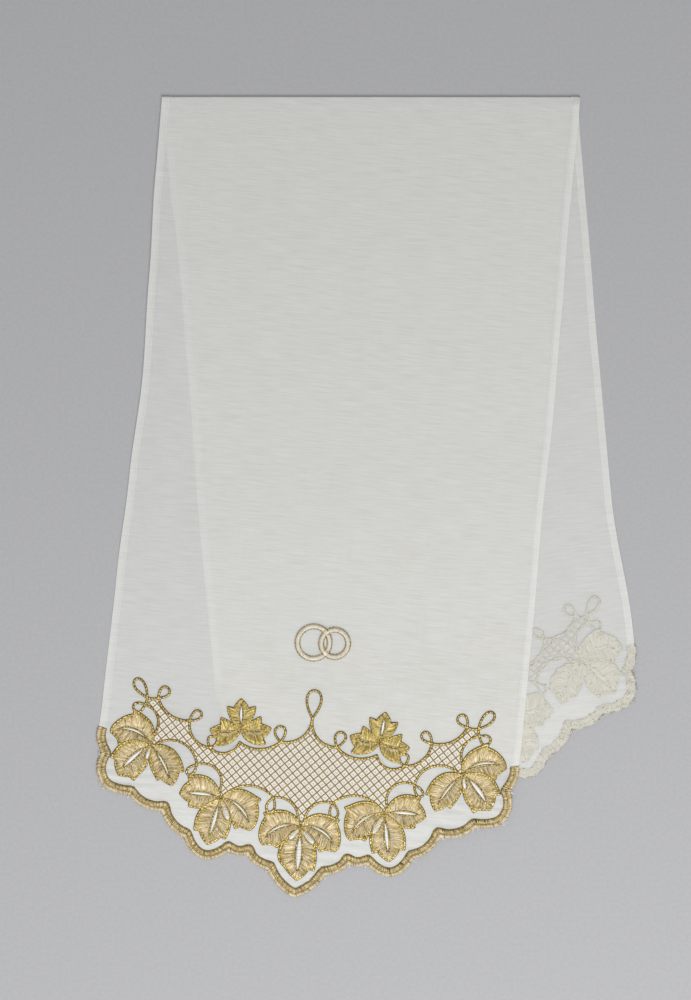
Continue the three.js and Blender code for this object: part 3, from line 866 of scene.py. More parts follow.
@dataclass
class Stitches:
    """Collects thread tubes in the plane of the cloth, to be seated on it as one joined mesh."""

    points: list[Array] = field(default_factory=list)
    tones: list[Array] = field(default_factory=list)
    # Faces and their threads' numbers, by how many corners they have.
    faces: dict[int, list[Array]] = field(default_factory=dict)
    ids: dict[int, list[Array]] = field(default_factory=dict)
    count: int = 0

    def lay(
        self,
        paths: Array,
        width: Array | float,
        height: Array | float,
        lift: Array | float = 0.0,
        tone: Array | float = 0.6,
        thread: int = Thread.GOLD,
        section: Array = LOW_SECTION,
        closed: bool = False,
        slant: float = 0.0,
    ) -> None:
        """Lays stitches along paths that have the same number of points.

        Args:
            paths: u and v of each point of each path.
            width: width of the thread at each point.
            height: height of the thread at each point.
            lift: height of its foot off the cloth.
            tone: shade of the thread at each point, from 0 to 1.
            thread: its thread, as a number among the piece's materials.
            section: the thread's section.
            closed: whether each path ends where it starts, without repeating the point.
            slant: how far the wraps of a cord lean along it, as share of the place across it.
        """
        count, steps, _ = paths.shape
        if closed:
            ahead = np.roll(paths, -1, axis=1) - np.roll(paths, 1, axis=1)
        else:
            ahead = np.gradient(paths, axis=1)
        ahead = ahead / np.maximum(np.linalg.norm(ahead, axis=2, keepdims=True), 1e-9)
        normal = left_of(ahead)
        shape = (count, steps, 1)
        across = section[:, 0] * np.broadcast_to(width, (count, steps))[..., None]
        flat = paths[:, :, None] + across[..., None] * normal[:, :, None]
        flat = flat + slant * across[..., None] * ahead[:, :, None]
        high = section[:, 1] * np.broadcast_to(height, (count, steps))[..., None]
        high = high + np.broadcast_to(lift, (count, steps))[..., None]
        self.points.append(np.concatenate([flat, high[..., None]], axis=3).reshape(-1, 3))
        # The section's tones paint shade at the feet and a highlight on the crest.
        shade = section[:, 2] * np.broadcast_to(tone, (count, steps)).reshape(shape)
        self.tones.append(np.clip(shade, 0, 1).ravel())
        corners = len(section)
        index = np.arange(count * steps * corners).reshape(count, steps, corners) + self.count
        here = index if closed else index[:, :-1]
        there = np.roll(index, -1, axis=1) if closed else index[:, 1:]
        quads = np.stack(
            [here, np.roll(here, -1, axis=2), np.roll(there, -1, axis=2), there], axis=3
        ).reshape(-1, 4)
        self._keep(quads, thread)
        if not closed:
            self._keep(np.concatenate([index[:, 0, ::-1], index[:, -1]]), thread)
        self.count += count * steps * corners

    def _keep(self, faces: Array, thread: int) -> None:
        """Keeps faces and the number of their thread."""
        self.faces.setdefault(faces.shape[1], []).append(faces)
        self.ids.setdefault(faces.shape[1], []).append(np.full(len(faces), thread))

    def work_all_in(self, thread: int) -> None:
        """Gives all the stitches one thread."""
        for groups in self.ids.values():
            for ids in groups:
                ids[:] = thread

    def make(
        self,
        name: str,
        form: ClothForm,
        plan: HalfPlan,
        side: Side,
        materials: list[bpy.types.Material],
    ) -> bpy.types.Object:
        """Seats the stitches on the cloth as one mesh.

        Args:
            name: the piece's name.
            form: how the cloth lies.
            plan: the half that bears them.
            side: the side that bears them.
            materials: the piece's materials.

        Returns:
            The object.
        """
        placed = form.seat(plan, side, np.concatenate(self.points))
        sizes = sorted(self.faces)
        faces = [np.concatenate(self.faces[n]) for n in sizes]
        ids = [np.concatenate(self.ids[n]) for n in sizes]
        made = mesh_object(name, placed, faces, ids, materials, smooth=side is Side.RIGHT)
        set_point_values(made, "tone", np.concatenate(self.tones))
        return made


@dataclass(frozen=True)
class Hand:
    """How closely a face of the embroidery is worked: pitches and widths of its threads."""

    pitch: float = 0.6
    cord_step: float = 0.5
    cord_share: float = 1.0
    fill_share: float = 1.0
    # Most points along a stitch.
    points: int = 4


# The back end's right side faces the surface and doesn't show, so it is worked in fewer and
# wider stitches. Its wrong side is looser than a right side.
HIDDEN_HAND = Hand(pitch=1.7, cord_step=1.5, fill_share=2.6, points=3)
WRONG_HAND = Hand(pitch=1.1, cord_step=1.05, cord_share=0.85, fill_share=1.2, points=3)


@dataclass
class Needle:
    """Works cords, satin bands and fills into one set of stitches, with a seeded unevenness."""

    hand: Hand
    seed: int
    # A cord's wraps: length of a bead, how uneven and how deep it is, and how far they slant. The
    # depth also paints each bead lighter on its crest and darker between, as highlight and shade.
    bead: float = 2.8
    bead_unevenness: float = 0.5
    bead_depth: float = 0.46
    wrap_slant: float = 0.5
    # How far the tone varies along a thread, in painted glints along a stitch, and from one fill
    # stitch to the next.
    thread_grain: float = 0.16
    glint: float = 0.15
    fill_spread: float = 0.3
    # How far stitches stray off their line, as share of their length.
    stray: float = 0.012
    satin_height: float = 0.32
    fill_height: float = 0.26
    # From this reach on a fill stitch is long, and takes all its points.
    long_reach: float = 0.6
    stitches: Stitches = field(default_factory=Stitches)
    random: np.random.Generator = field(init=False)

    def __post_init__(self) -> None:
        """Starts the draws that make it uneven."""
        self.random = np.random.default_rng(self.seed)

    def cord(
        self,
        path: Array,
        width: float,
        height: float,
        lift: float = 0.0,
        tone: float = 0.6,
        closed: bool = False,
    ) -> None:
        """Lays a wrapped cord along a path.

        Args:
            path: the cord's line.
            width: its width.
            height: its height.
            lift: height of its foot off the cloth.
            tone: its mean shade.
            closed: whether the path ends where it starts.
        """
        even = resample(path, self.hand.cord_step)
        if closed:
            even = even[:-1]
        count = len(even)
        # The wraps show as beads of uneven length, painted lighter on each crest and darker
        # between, as highlight and shade.
        uneven = 1 + self.random.normal(0, self.bead_unevenness, count)
        beat = np.cumsum(uneven) * self.hand.cord_step / self.bead
        grain = self.bead_depth * np.sin(2 * math.pi * beat)
        grain = grain + self.random.normal(0, self.thread_grain, count)
        self.stitches.lay(
            even[None],
            width * self.hand.cord_share * (1 + 0.12 * grain),
            height * (1 + 0.3 * grain),
            lift,
            np.clip(tone + grain, 0.05, 1),
            section=ROUND_SECTION,
            closed=closed,
            slant=self.wrap_slant,
        )

    def satin(
        self,
        outer: Array,
        inner: Array,
        height: float,
        tone: float,
        spread: float = 0.14,
        thread: int = Thread.GOLD,
        lift: float = 0.0,
        width: float = 0.6,
        steps: int = 4,
    ) -> None:
        """Lays arched stitches side by side, from one line to another, with shade painted towards
        their ends.

        Args:
            outer: where each stitch starts.
            inner: where each stitch ends.
            height: height of the arch.
            tone: mean shade.
            spread: how far the shade varies from stitch to stitch.
            thread: its thread, as a number among the piece's materials.
            lift: height of its feet off the cloth.
            width: width of a stitch.
            steps: points along a stitch, if the hand takes so many.
        """
        count, steps = len(outer), min(steps, self.hand.points)
        share = np.linspace(0, 1, steps)
        ragged = self.random.normal(0, self.stray, (count, 1)) + share
        paths = outer[:, None] + ragged[..., None] * (inner - outer)[:, None]
        # The ends, where a stitch dives into the cloth, are painted darker as shade.
        arch = np.sin(math.pi * np.clip(share, 0.04, 0.96)) ** 0.55
        shade = tone + self.random.normal(0, spread, (count, 1))
        shade = shade + self.random.normal(0, self.glint, (count, steps))
        self.stitches.lay(
            paths,
            width * self.hand.fill_share * (0.75 + 0.25 * arch),
            self.satin_height,
            lift + height * arch * self.random.uniform(0.9, 1.1, (count, 1)),
            np.clip(shade * (0.72 + 0.28 * arch), 0.03, 1),
            thread,
            SATIN_SECTION,
        )

    def fill(
        self,
        outline: Array,
        roots: Array,
        reach: tuple[float, float],
        tone: float,
        thread: int,
        width: float,
        lift: float,
        plump: float,
    ) -> None:
        """Lays long and short stitches from an outline towards a vein.

        Args:
            outline: where each stitch starts.
            roots: where it would end at the vein.
            reach: the shortest and longest share of the way that it runs.
            tone: mean shade.
            thread: its thread, as a number among the piece's materials.
            width: width of a stitch.
            lift: height of its feet off the cloth at the outline.
            plump: how much higher its middle stands.
        """
        count = len(outline)
        steps = min(self.hand.points, 4 if max(reach) > self.long_reach else 3)
        length = self.random.uniform(*reach, (count, 1))
        along = np.linspace(0.02, 1, steps)
        share = along * length
        run = roots - outline
        bow = left_of(run) * self.random.normal(0, self.stray, (count, 1))
        paths = outline[:, None] + share[..., None] * run[:, None]
        paths = paths + (np.sin(math.pi * share))[..., None] * bow[:, None]
        pad = lift + plump * np.sin(math.pi * (0.12 + 0.8 * share))
        shade = tone + self.random.normal(0, self.fill_spread, (count, 1)) + 0.14 * share
        shade = shade + self.random.normal(0, self.glint, (count, steps))
        taper = 1 - 0.45 * along**3
        self.stitches.lay(
            paths,
            width * self.hand.fill_share * taper,
            self.fill_height,
            pad,
            np.clip(shade, 0.03, 1),
            thread,
            SATIN_SECTION,
        )


# The embroidery's design, for the right half of an end: the left half is its mirror image.
UPPER_SWAGS = (
    (0, 562, 25.5, 586, 8.2),
    (25.5, 586, 62, 589.8, 6.5),
    (62, 589.8, 88, 597, 7.5),
    (88, 597, 109.5, 574.5, 6.7),
    (109.5, 574.5, 140, 557, 6.4),
    (140, 557, 150, 557.5, 1),
    (150, 557.5, 151.5, 564, 0.5),
    (151.5, 564, 143.5, 594.5, 10),
)
OUTER_SWAGS = ((137, 599, 98.5, 613.5, 12), (98.5, 613.5, 77, 637, 12))
INNER_SWAGS = ((71, 639, 27, 636.5, 10), (27, 636.5, 3, 657, 8.5))
CENTRE_LOOP = (0, 562, 180, 25, 13)
UPPER_LOOPS = (
    (25.5, 586, 169, 14, 9.5),
    (88, 597, 194, 10.5, 8.7),
    (109.5, 574.5, 226, 12.3, 7.6),
    (140, 557, 220, 12.5, 8.5),
    (150, 557.5, 142, 19.5, 9),
    (151.5, 564, 61, 11, 8.5),
)
OUTER_LOOPS = ((98.5, 613.5, 39, 12, 6),)
INNER_LOOPS = ((27, 636.5, 11, 13.5, 7.5),)


def run_path(swags: tuple[Row, ...]) -> Array:
    """One path along a run of arcs."""
    return np.concatenate([swag(row) for row in swags])


# Half of a lobe's outline: along and across the midrib as shares of its length, and 1 at a corner.
RIM_LINES = {
    Rim.HOOKED: (
        (0.03, 0.03, 0), (0.1, 0.13, 0), (0.2, 0.225, 0), (0.31, 0.3, 0), (0.43, 0.345, 0),
        (0.52, 0.375, 0), (0.585, 0.41, 1), (0.59, 0.315, 1), (0.67, 0.275, 0), (0.77, 0.21, 0),
        (0.87, 0.14, 0), (0.95, 0.07, 0), (1, 0, 1),
    ),
    Rim.BLUNT: (
        (0.03, 0.03, 0), (0.12, 0.14, 0), (0.26, 0.24, 0), (0.42, 0.305, 0), (0.58, 0.325, 0),
        (0.75, 0.315, 0), (0.91, 0.31, 1), (0.885, 0.215, 1), (0.94, 0.13, 0), (1, 0, 1),
    ),
    Rim.TOOTHED: (
        (0.03, 0.03, 0), (0.1, 0.12, 0), (0.22, 0.24, 0), (0.36, 0.325, 0), (0.52, 0.36, 0),
        (0.66, 0.355, 0), (0.79, 0.335, 1), (0.765, 0.23, 1), (0.86, 0.17, 0), (0.94, 0.09, 0),
        (1, 0, 1),
    ),
    Rim.ROUND: (
        (0.03, 0.03, 0), (0.1, 0.13, 0), (0.22, 0.25, 0), (0.36, 0.34, 0), (0.52, 0.375, 0),
        (0.64, 0.36, 0), (0.72, 0.3, 1), (0.78, 0.24, 0), (0.88, 0.15, 0), (0.95, 0.07, 0),
        (1, 0, 1),
    ),
    Rim.FORKED: (
        (0.03, 0.03, 0), (0.1, 0.12, 0), (0.24, 0.26, 0), (0.4, 0.36, 0), (0.56, 0.42, 0),
        (0.74, 0.45, 1), (0.71, 0.33, 0), (0.66, 0.23, 1), (0.78, 0.19, 0), (0.9, 0.1, 0),
        (1, 0, 1),
    ),
}


@dataclass(frozen=True)
class Lobe:
    """One lobe of a leaf: a bent midrib with an outline on either side of an open slit.

    The pairs are for the side to the left and to the right of the way that the midrib runs.
    """

    # The way that it sets out, how far it turns on the way, and how long it is.
    heading: float
    bend: float
    long: float
    rims: tuple[Rim, Rim] = (Rim.TOOTHED, Rim.TOOTHED)
    # Its width as share of the rim's own.
    wide: tuple[float, float] = (1.0, 1.0)
    # The slit's half width as share of the length, and how far the lobe lies over its neighbours.
    slit: float = 0.03
    rise: float = 0.0


CENTRE_LOBES = (
    Lobe(108, -94, 42, (Rim.BLUNT, Rim.HOOKED)),
    Lobe(-108, 94, 42, (Rim.HOOKED, Rim.BLUNT)),
    Lobe(2, -2, 47.5, (Rim.ROUND, Rim.TOOTHED), (1.0, 0.9), 0.058, 0.15),
)
INNER_LOBES = (
    Lobe(103, -24, 37, wide=(0.95, 1.2), slit=0.045),
    Lobe(-88, 80, 42, (Rim.HOOKED, Rim.BLUNT), (1.08, 1.0)),
    Lobe(11, 0, 43, wide=(0.95, 1.02), slit=0.045, rise=0.15),
)
OUTER_LOBES = (
    Lobe(148, -88, 42, (Rim.BLUNT, Rim.HOOKED)),
    Lobe(-48, 30, 41, wide=(1.0, 0.78)),
    Lobe(58, -32, 39.5, (Rim.BLUNT, Rim.TOOTHED), (1.12, 1.1), 0.055, 0.15),
)
FORKED_PAIR = (Rim.FORKED, Rim.FORKED)
SMALL_LOBES = (
    Lobe(62, 45, 27.6, FORKED_PAIR, slit=0.02),
    Lobe(284, -42, 27.6, FORKED_PAIR, slit=0.02),
    Lobe(175, 0, 27, FORKED_PAIR, (1.0, 1.05), 0.055, 0.12),
)


@dataclass(frozen=True)
class FillLayer:
    """One layer of a lobe's fill: its pitch as share of the hand's, and how it is worked."""

    pitch: float
    reach: tuple[float, float]
    tone: float
    width: float
    lift: float
    plump: float = 0.38
    # The leaf's own thread where none is named.
    thread: Thread | None = None
    from_slit: bool = False


# A wide underlay, long stitches and shorter ones over it, a gold rim, and white ones by the slit.
FILL_LAYERS = (
    FillLayer(2.6, (0.97, 1.0), tone=0.56, width=2.6, lift=0.0, plump=0.3),
    FillLayer(1.4, (0.6, 0.97), tone=0.83, width=0.6, lift=0.12),
    FillLayer(1.4, (0.28, 0.6), tone=0.64, width=0.6, lift=0.12),
    FillLayer(0.8, (0.16, 0.4), tone=0.62, width=0.62, lift=0.16, thread=Thread.GOLD),
    FillLayer(
        1.6, (0.12, 0.36), tone=1.0, width=0.55, lift=0.16, thread=Thread.PALE, from_slit=True
    ),
)


@dataclass(frozen=True)
class Leaf:
    """A leaf of three toothed lobes, filled from its outline towards open veins."""

    name: str
    u: float
    v: float
    lobes: tuple[Lobe, ...]
    # Small open petals between the lobes: heading, length and width.
    buds: tuple[tuple[float, float, float], ...] = ()
    bud_cord: float = 1.35
    # The part of each side's points that shows, from the leaf's heart to the bud's tip.
    bud_part: tuple[int, int] = (4, 20)
    cord_width: float = 2.3
    cord_height: float = 0.62
    cord_lift: float = 0.16
    vein_width: float = 1.6
    vein_height: float = 0.46
    vein_lift: float = 0.4
    # Where the slit starts along the midrib, and how much of it the slit takes.
    slit_start: float = 0.16
    slit_long: float = 0.68
    # How far beside the slit the fill ends and the vein's cords lie.
    fill_gap: float = 0.006
    vein_gap: float = 0.008
    heart: float = 2.3
    fill_thread: Thread = Thread.PALE

    @property
    def sides(self) -> tuple[int, ...]:
        """1 for the leaf on the right, and -1 for its mirror image, if it has one."""
        return (1,) if self.u == 0 else (1, -1)

    def ribs(self, lobe: Lobe, along: Array, across: Array) -> Array:
        """Places by a lobe's midrib.

        Args:
            lobe: the lobe.
            along: along the midrib, as share of its length.
            across: off the midrib to its left, as share of its length.

        Returns:
            u and v, one row each.
        """
        # The midrib, from a little before its start to a little past its end.
        grid = np.linspace(-0.05, 1.1, 116)
        heading = heading_vector(lobe.heading + lobe.bend * grid)
        line = np.cumsum(heading, axis=0) * (grid[1] - grid[0])
        line = line - points_at(0, grid, line)
        left = left_of(heading_vector(lobe.heading + lobe.bend * along))
        place = points_at(along, grid, line) + np.asarray(across)[:, None] * left
        return np.array([self.u, self.v]) + lobe.long * place

    def half_edge(self, lobe: Lobe, side: int) -> Array:
        """One half of a lobe's outline, from the leaf's middle to the lobe's tip.

        Args:
            lobe: the lobe.
            side: 0 for the left of the midrib, 1 for the right.

        Returns:
            u and v, one row each.
        """
        rows = np.array(RIM_LINES[lobe.rims[side]])
        curve = spline(rows[:, :2], rows[:, 2] > 0)
        sign = 1 - 2 * side
        return self.ribs(lobe, curve[:, 0], sign * lobe.wide[side] * curve[:, 1])

    def slit_width(self, lobe: Lobe, along: Array) -> Array:
        """Half the width of a lobe's open slit, as share of the lobe's length."""
        share = np.clip((along - self.slit_start) / self.slit_long, 0, 1)
        return lobe.slit * np.sin(math.pi * share) ** 0.8

    def work(self, needle: Needle, mirror: int) -> None:
        """Works the leaf.

        Args:
            needle: takes the stitches.
            mirror: -1 for the leaf on the left of the centre line.
        """
        for lobe in self.lobes:
            edges = [self.half_edge(lobe, side) for side in (0, 1)]
            for side, edge in enumerate(edges):
                self._fill_side(needle, mirror, lobe, side, edge)
            rim = mirrored(np.concatenate([edges[0], edges[1][::-1]]), mirror)
            lift = self.cord_lift + lobe.rise
            needle.cord(rim, self.cord_width, self.cord_height, lift, tone=0.64)
            self._veins(needle, mirror, lobe)
        for row in self.buds:
            bud = mirrored(teardrop((self.u, self.v, *row)), mirror)
            near, far = self.bud_part
            needle.satin(
                bud[near:far],
                bud[-near:-far:-1],
                height=0.1,
                tone=0.9,
                spread=0.1,
                thread=Thread.COTTON,
                lift=0.72,
                width=0.9,
                steps=3,
            )
            needle.cord(bud[near:-near], self.bud_cord, height=0.45, lift=0.8, tone=0.55)
        self._heart(needle, mirror)

    def _fill_side(
        self, needle: Needle, mirror: int, lobe: Lobe, side: int, edge: Array
    ) -> None:
        """Fills one side of a lobe, layer by layer.

        Args:
            needle: takes the stitches.
            mirror: -1 for the leaf on the left of the centre line.
            lobe: the lobe.
            side: 0 for the left of the midrib, 1 for the right.
            edge: that half of the outline.
        """
        sign = 1 - 2 * side
        for layer in FILL_LAYERS:
            start = resample(edge, needle.hand.pitch * layer.pitch)
            along = 0.06 + 0.8 * np.linspace(0, 1, len(start)) ** 0.95
            off = sign * (self.slit_width(lobe, along) + self.fill_gap)
            ends = [mirrored(line, mirror) for line in (start, self.ribs(lobe, along, off))]
            if layer.from_slit:
                ends.reverse()
            thread = self.fill_thread if layer.thread is None else layer.thread
            lift = layer.lift + lobe.rise
            needle.fill(*ends, layer.reach, layer.tone, thread, layer.width, lift, layer.plump)

    def _veins(self, needle: Needle, mirror: int, lobe: Lobe) -> None:
        """Backs a lobe's slit with white stitches, painted light that keeps the slit as pale as
        bare cloth where its cords shade it, and lays thin cords round it.

        Args:
            needle: takes the stitches.
            mirror: -1 for the leaf on the left of the centre line.
            lobe: the lobe.
        """
        along = np.linspace(0.04, 0.86, 60)
        off = self.slit_width(lobe, along) + self.vein_gap
        left, right = (mirrored(self.ribs(lobe, along, sign * off), mirror) for sign in (1, -1))
        # These white stitches are painted light: they keep the slit, which the cords shade, as pale
        # as bare cloth.
        needle.satin(
            left[::2],
            right[::2],
            height=0.06,
            tone=0.9,
            spread=0.05,
            thread=Thread.COTTON,
            lift=0.1,
            width=1.7,
            steps=3,
        )
        for line in (left, right):
            lift = self.vein_lift + lobe.rise
            needle.cord(line, self.vein_width, self.vein_height, lift, tone=0.52)

    def _heart(self, needle: Needle, mirror: int) -> None:
        """Works the knot where the veins meet.

        Args:
            needle: takes the stitches.
            mirror: -1 for the leaf on the left of the centre line.
        """
        turns = np.linspace(0, 2 * math.pi, 10)[:-1]
        middle = np.array([self.u, self.v])
        starts = mirrored(middle + 0.5 * round_ways(turns + 0.7), mirror)
        ends = mirrored(middle + self.heart * round_ways(turns), mirror)
        needle.satin(starts, ends, height=0.35, tone=0.66, lift=0.55, width=1.0)


LEAVES = (
    Leaf("leaf_centre", 0, 661, CENTRE_LOBES, buds=((-38, 15, 5), (44, 19, 6))),
    Leaf("leaf_inner", 74, 641.5, INNER_LOBES, buds=((-24, 21, 6),)),
    Leaf("leaf_outer", 141.5, 600, OUTER_LOBES, buds=((12, 13, 4),)),
    Leaf(
        "leaf_small",
        63,
        578,
        SMALL_LOBES,
        cord_width=1.8,
        cord_height=0.55,
        fill_thread=Thread.GOLD,
    ),
)


@dataclass(frozen=True)
class Vine:
    """A stretch of the gold vine: its run and the loops on it."""

    name: str
    swags: tuple[Row, ...]
    loops: tuple[Row, ...]
    width: float = 2.5
    loop_width: float = 2.3
    height: float = 0.66
    loop_lift: float = 0.12

    def loop(self, needle: Needle, row: Row, mirror: int = 1) -> None:
        """Works one of its loops, on the side that mirror says."""
        path = mirrored(teardrop(row), mirror)
        needle.cord(path, self.loop_width, self.height, self.loop_lift, closed=True)

    def work(self, needle: Needle, mirror: int) -> None:
        """Works the stretch on one side of the centre line.

        Args:
            needle: takes the stitches.
            mirror: -1 for the left of the centre line.
        """
        needle.cord(mirrored(run_path(self.swags), mirror), self.width, self.height)
        for row in self.loops:
            self.loop(needle, row, mirror)


UPPER_VINE = Vine("upper_vine", UPPER_SWAGS, UPPER_LOOPS)
# The two sides of the centre line, as the mirror numbers say.
SIDE_WORDS = {1: "right", -1: "left"}
SIDE_VINES = (
    Vine("outer_vine", OUTER_SWAGS, OUTER_LOOPS),
    Vine("inner_vine", INNER_SWAGS, INNER_LOOPS),
)


@dataclass(frozen=True)
class BandRow:
    """One row of the edge's stitches: where it starts and ends, inward from the cloth's edge."""

    start: float
    end: float
    height: float
    tone: float
    thread: Thread
    spread: float = 0.3
    lift: float = 0.14
    width: float = 0.66
    # A stitch at every so many places.
    every: int = 1


@dataclass(frozen=True)
class ScallopedBand:
    """The satin-stitched edge: a pale row outside, a golden one inside, and dark cords painted as
    the shade in its grooves.
    """

    underlay: BandRow = BandRow(-0.1, 7.2, 0.12, 0.6, Thread.PALE, 0.1, lift=0.0, width=1.6)
    rows: tuple[BandRow, ...] = (
        BandRow(-0.6, 2.9, 0.5, 0.98, Thread.PALE),
        BandRow(3.35, 7.1, 0.55, 0.85, Thread.PALE),
        BandRow(3.35, 7.1, 0.62, 0.8, Thread.GOLD, every=2),
    )
    # Inward, width and tone of the dark cords, painted as the shade in the grooves by the rows.
    groove_shade_cords: tuple[tuple[float, float, float], ...] = ((3.12, 0.7, 0.16), (7.35, 0.7, 0.2))
    # Thread ends: how many at each notch and in all besides, and how long.
    tuft: int = 5
    short_ends: int = 90
    tuft_long: float = 3.4
    short_long: float = 1.4
    # How far along the edge the stitches fan round a corner, and how short their way out is there.
    fan: float = 2.4
    mitre: float = 0.84

    def lines(self, step: float) -> tuple[Array, Array]:
        """The edge's points and the directions out of the cloth there, fanned round the corners.

        Args:
            step: how far apart the points are.

        Returns:
            The points and the directions.
        """
        path = resample(scalloped_edge(0.5), step)
        ahead = np.gradient(path, axis=0)
        ahead = ahead / np.linalg.norm(ahead, axis=1, keepdims=True)
        reach = int(3 * self.fan / step)
        kernel = np.exp(-0.5 * (np.arange(-reach, reach + 1) * step / self.fan) ** 2)
        padded = np.pad(ahead, ((reach, reach), (0, 0)), mode="edge")
        soft = np.stack(
            [np.convolve(padded[:, i], kernel / kernel.sum(), mode="valid") for i in (0, 1)], axis=1
        )
        # Stitches at a corner are longer, so that the rows keep their width round it.
        size = np.linalg.norm(soft, axis=1, keepdims=True)
        soft = soft / size / np.maximum(size, self.mitre)
        return path, left_of(soft)

    def work(self, needle: Needle) -> None:
        """Works the edge.

        Args:
            needle: takes the stitches.
        """
        path, out = self.lines(needle.hand.pitch)
        coarse, coarse_out = self.lines(2 * needle.hand.pitch)
        under = (coarse - self.underlay.start * coarse_out, coarse - self.underlay.end * coarse_out)
        self._row(needle, self.underlay, *under)
        # The rows' stitches lean a little, and stand evenly.
        lean = np.roll(path, 1, axis=0)
        lean[0] = path[0]
        for row in self.rows:
            pitch = needle.hand.pitch * row.every
            ends = self._even_stitches(path - row.start * out, lean - row.end * out, pitch)
            self._row(needle, row, *ends)
        # Dark cords painted as the shade in the grooves.
        for inward, width, tone in self.groove_shade_cords:
            needle.cord(path - inward * out, width, height=0.3, lift=0.02, tone=tone)
        self._stray_ends(needle, path, out)

    def _row(self, needle: Needle, row: BandRow, outer: Array, inner: Array) -> None:
        """Lays a row's stitches, from its outer line to its inner one."""
        needle.satin(
            outer, inner, row.height, row.tone, row.spread, row.thread, row.lift, row.width
        )

    def _even_stitches(self, outer: Array, inner: Array, pitch: float) -> tuple[Array, Array]:
        """Spaces a row's stitches evenly by the row's middle, round the corners too.

        Args:
            outer: the row's outer line.
            inner: its inner line, point for point.
            pitch: from one stitch to the next.

        Returns:
            Where the stitches start and end.
        """
        reach = reach_along((outer + inner) / 2)
        at = np.arange(0, reach[-1], pitch)
        return points_at(at, reach, outer), points_at(at, reach, inner)

    def _stray_ends(self, needle: Needle, path: Array, out: Array) -> None:
        """Leaves thread ends along the outer edge: short ones all along, and a tuft at each notch.

        Args:
            needle: takes the stitches.
            path: the edge's points.
            out: the directions out of the cloth.
        """
        notches = np.array([(side * u, v) for *_, u, v in SCALLOPS[:-1] for side in (1, -1)])
        near = np.linalg.norm(path[:, None] - notches, axis=2).argmin(axis=0)
        # A tuft's ends stand at up to four places to either side of its notch.
        tuft = np.repeat(near, self.tuft) + needle.random.integers(-4, 5, len(near) * self.tuft)
        short = needle.random.choice(len(path) - 2, self.short_ends, replace=False) + 1
        picks = np.concatenate([tuft, short])
        long = np.where(np.arange(len(picks)) < len(tuft), self.tuft_long, self.short_long)
        ahead = -left_of(out[picks])
        skew = needle.random.normal(0, 0.8, (len(picks), 1))
        length = long[:, None] * needle.random.uniform(0.4, 1, (len(picks), 1))
        start = path[picks] + 0.4 * out[picks]
        end = start + length * (out[picks] + skew * ahead) / np.hypot(1, skew)
        share = np.linspace(0, 1, 3)[None, :, None]
        paths = start[:, None] + share * (end - start)[:, None]
        needle.stitches.lay(
            paths, width=0.3, height=0.16, lift=0.2, tone=0.85, thread=Thread.COTTON
        )


@dataclass(frozen=True)
class Lattice:
    """The diamond lattice between the upper vine and the lower ones: single rows of thread."""

    spacing: float = 5.52
    width: float = 0.95
    height: float = 0.3
    lift: float = 0.16
    tone: float = 0.42
    shortest: float = 1.5
    # How far a line wanders off its way, and over what length.
    wander: float = 0.12
    wander_run: float = 11.0
    # Flat cream thread under each gold one, which makes the diamonds creamier than the cloth. The
    # threads of the two ways lie at two heights.
    under_width: float = 4.8
    under_height: float = 0.08
    under_lift: float = 0.04
    under_step: float = 0.02

    def outline(self) -> Array:
        """The closed outline that the vines make round the lattice."""
        upper = run_path(UPPER_SWAGS)
        lower = np.concatenate([run_path(OUTER_SWAGS), run_path(INNER_SWAGS)])
        return np.concatenate([mirrored(upper)[::-1], upper, lower, mirrored(lower)[::-1]])

    def work(self, needle: Needle) -> None:
        """Works the lattice.

        Args:
            needle: takes the stitches.
        """
        outline = self.outline()
        root = math.sqrt(0.5)
        for turn in (1, -1):
            far = root * (outline[:, 0] + turn * outline[:, 1])
            along = root * (outline[:, 0] - turn * outline[:, 1])
            far_next, along_next = np.roll(far, -1), np.roll(along, -1)
            first = math.ceil(far.min() / self.spacing)
            for k in range(first, int(far.max() / self.spacing) + 1):
                at = k * self.spacing + 0.01
                crossed = (far > at) != (far_next > at)
                share = (at - far[crossed]) / (far_next[crossed] - far[crossed])
                cuts = np.sort(along[crossed] + share * (along_next[crossed] - along[crossed]))
                for start, end in zip(cuts[::2], cuts[1::2]):
                    if end - start > self.shortest:
                        self._line(needle, at, start, end, turn)

    def _line(self, needle: Needle, at: float, start: float, end: float, turn: int) -> None:
        """Lays one line of the lattice.

        Args:
            needle: takes the stitches.
            at: how far off the line lies.
            start: where it starts along its way.
            end: where it ends.
            turn: 1 or -1, the way that it leans.
        """
        count = max(3, int((end - start) / (1.6 * needle.hand.pitch)) + 1)
        along = np.linspace(start, end, count)
        wander = at + self.wander * np.sin(along / self.wander_run + at)
        u = math.sqrt(0.5) * (wander + along)
        v = math.sqrt(0.5) * turn * (wander - along)
        grain = needle.random.normal(0, needle.thread_grain, count)
        line = np.stack([u, v], axis=1)
        if self.under_width:
            needle.stitches.lay(
                resample(line, 4 * needle.hand.pitch)[None],
                self.under_width,
                self.under_height,
                self.under_lift - self.under_step * turn,
                tone=0.9,
                thread=Thread.CREAM,
                section=FLAT_SECTION,
            )
        width = self.width * (1 + 0.3 * grain)
        tone = np.clip(self.tone + grain, 0.05, 1)
        needle.stitches.lay(line[None], width, self.height, self.lift, tone)


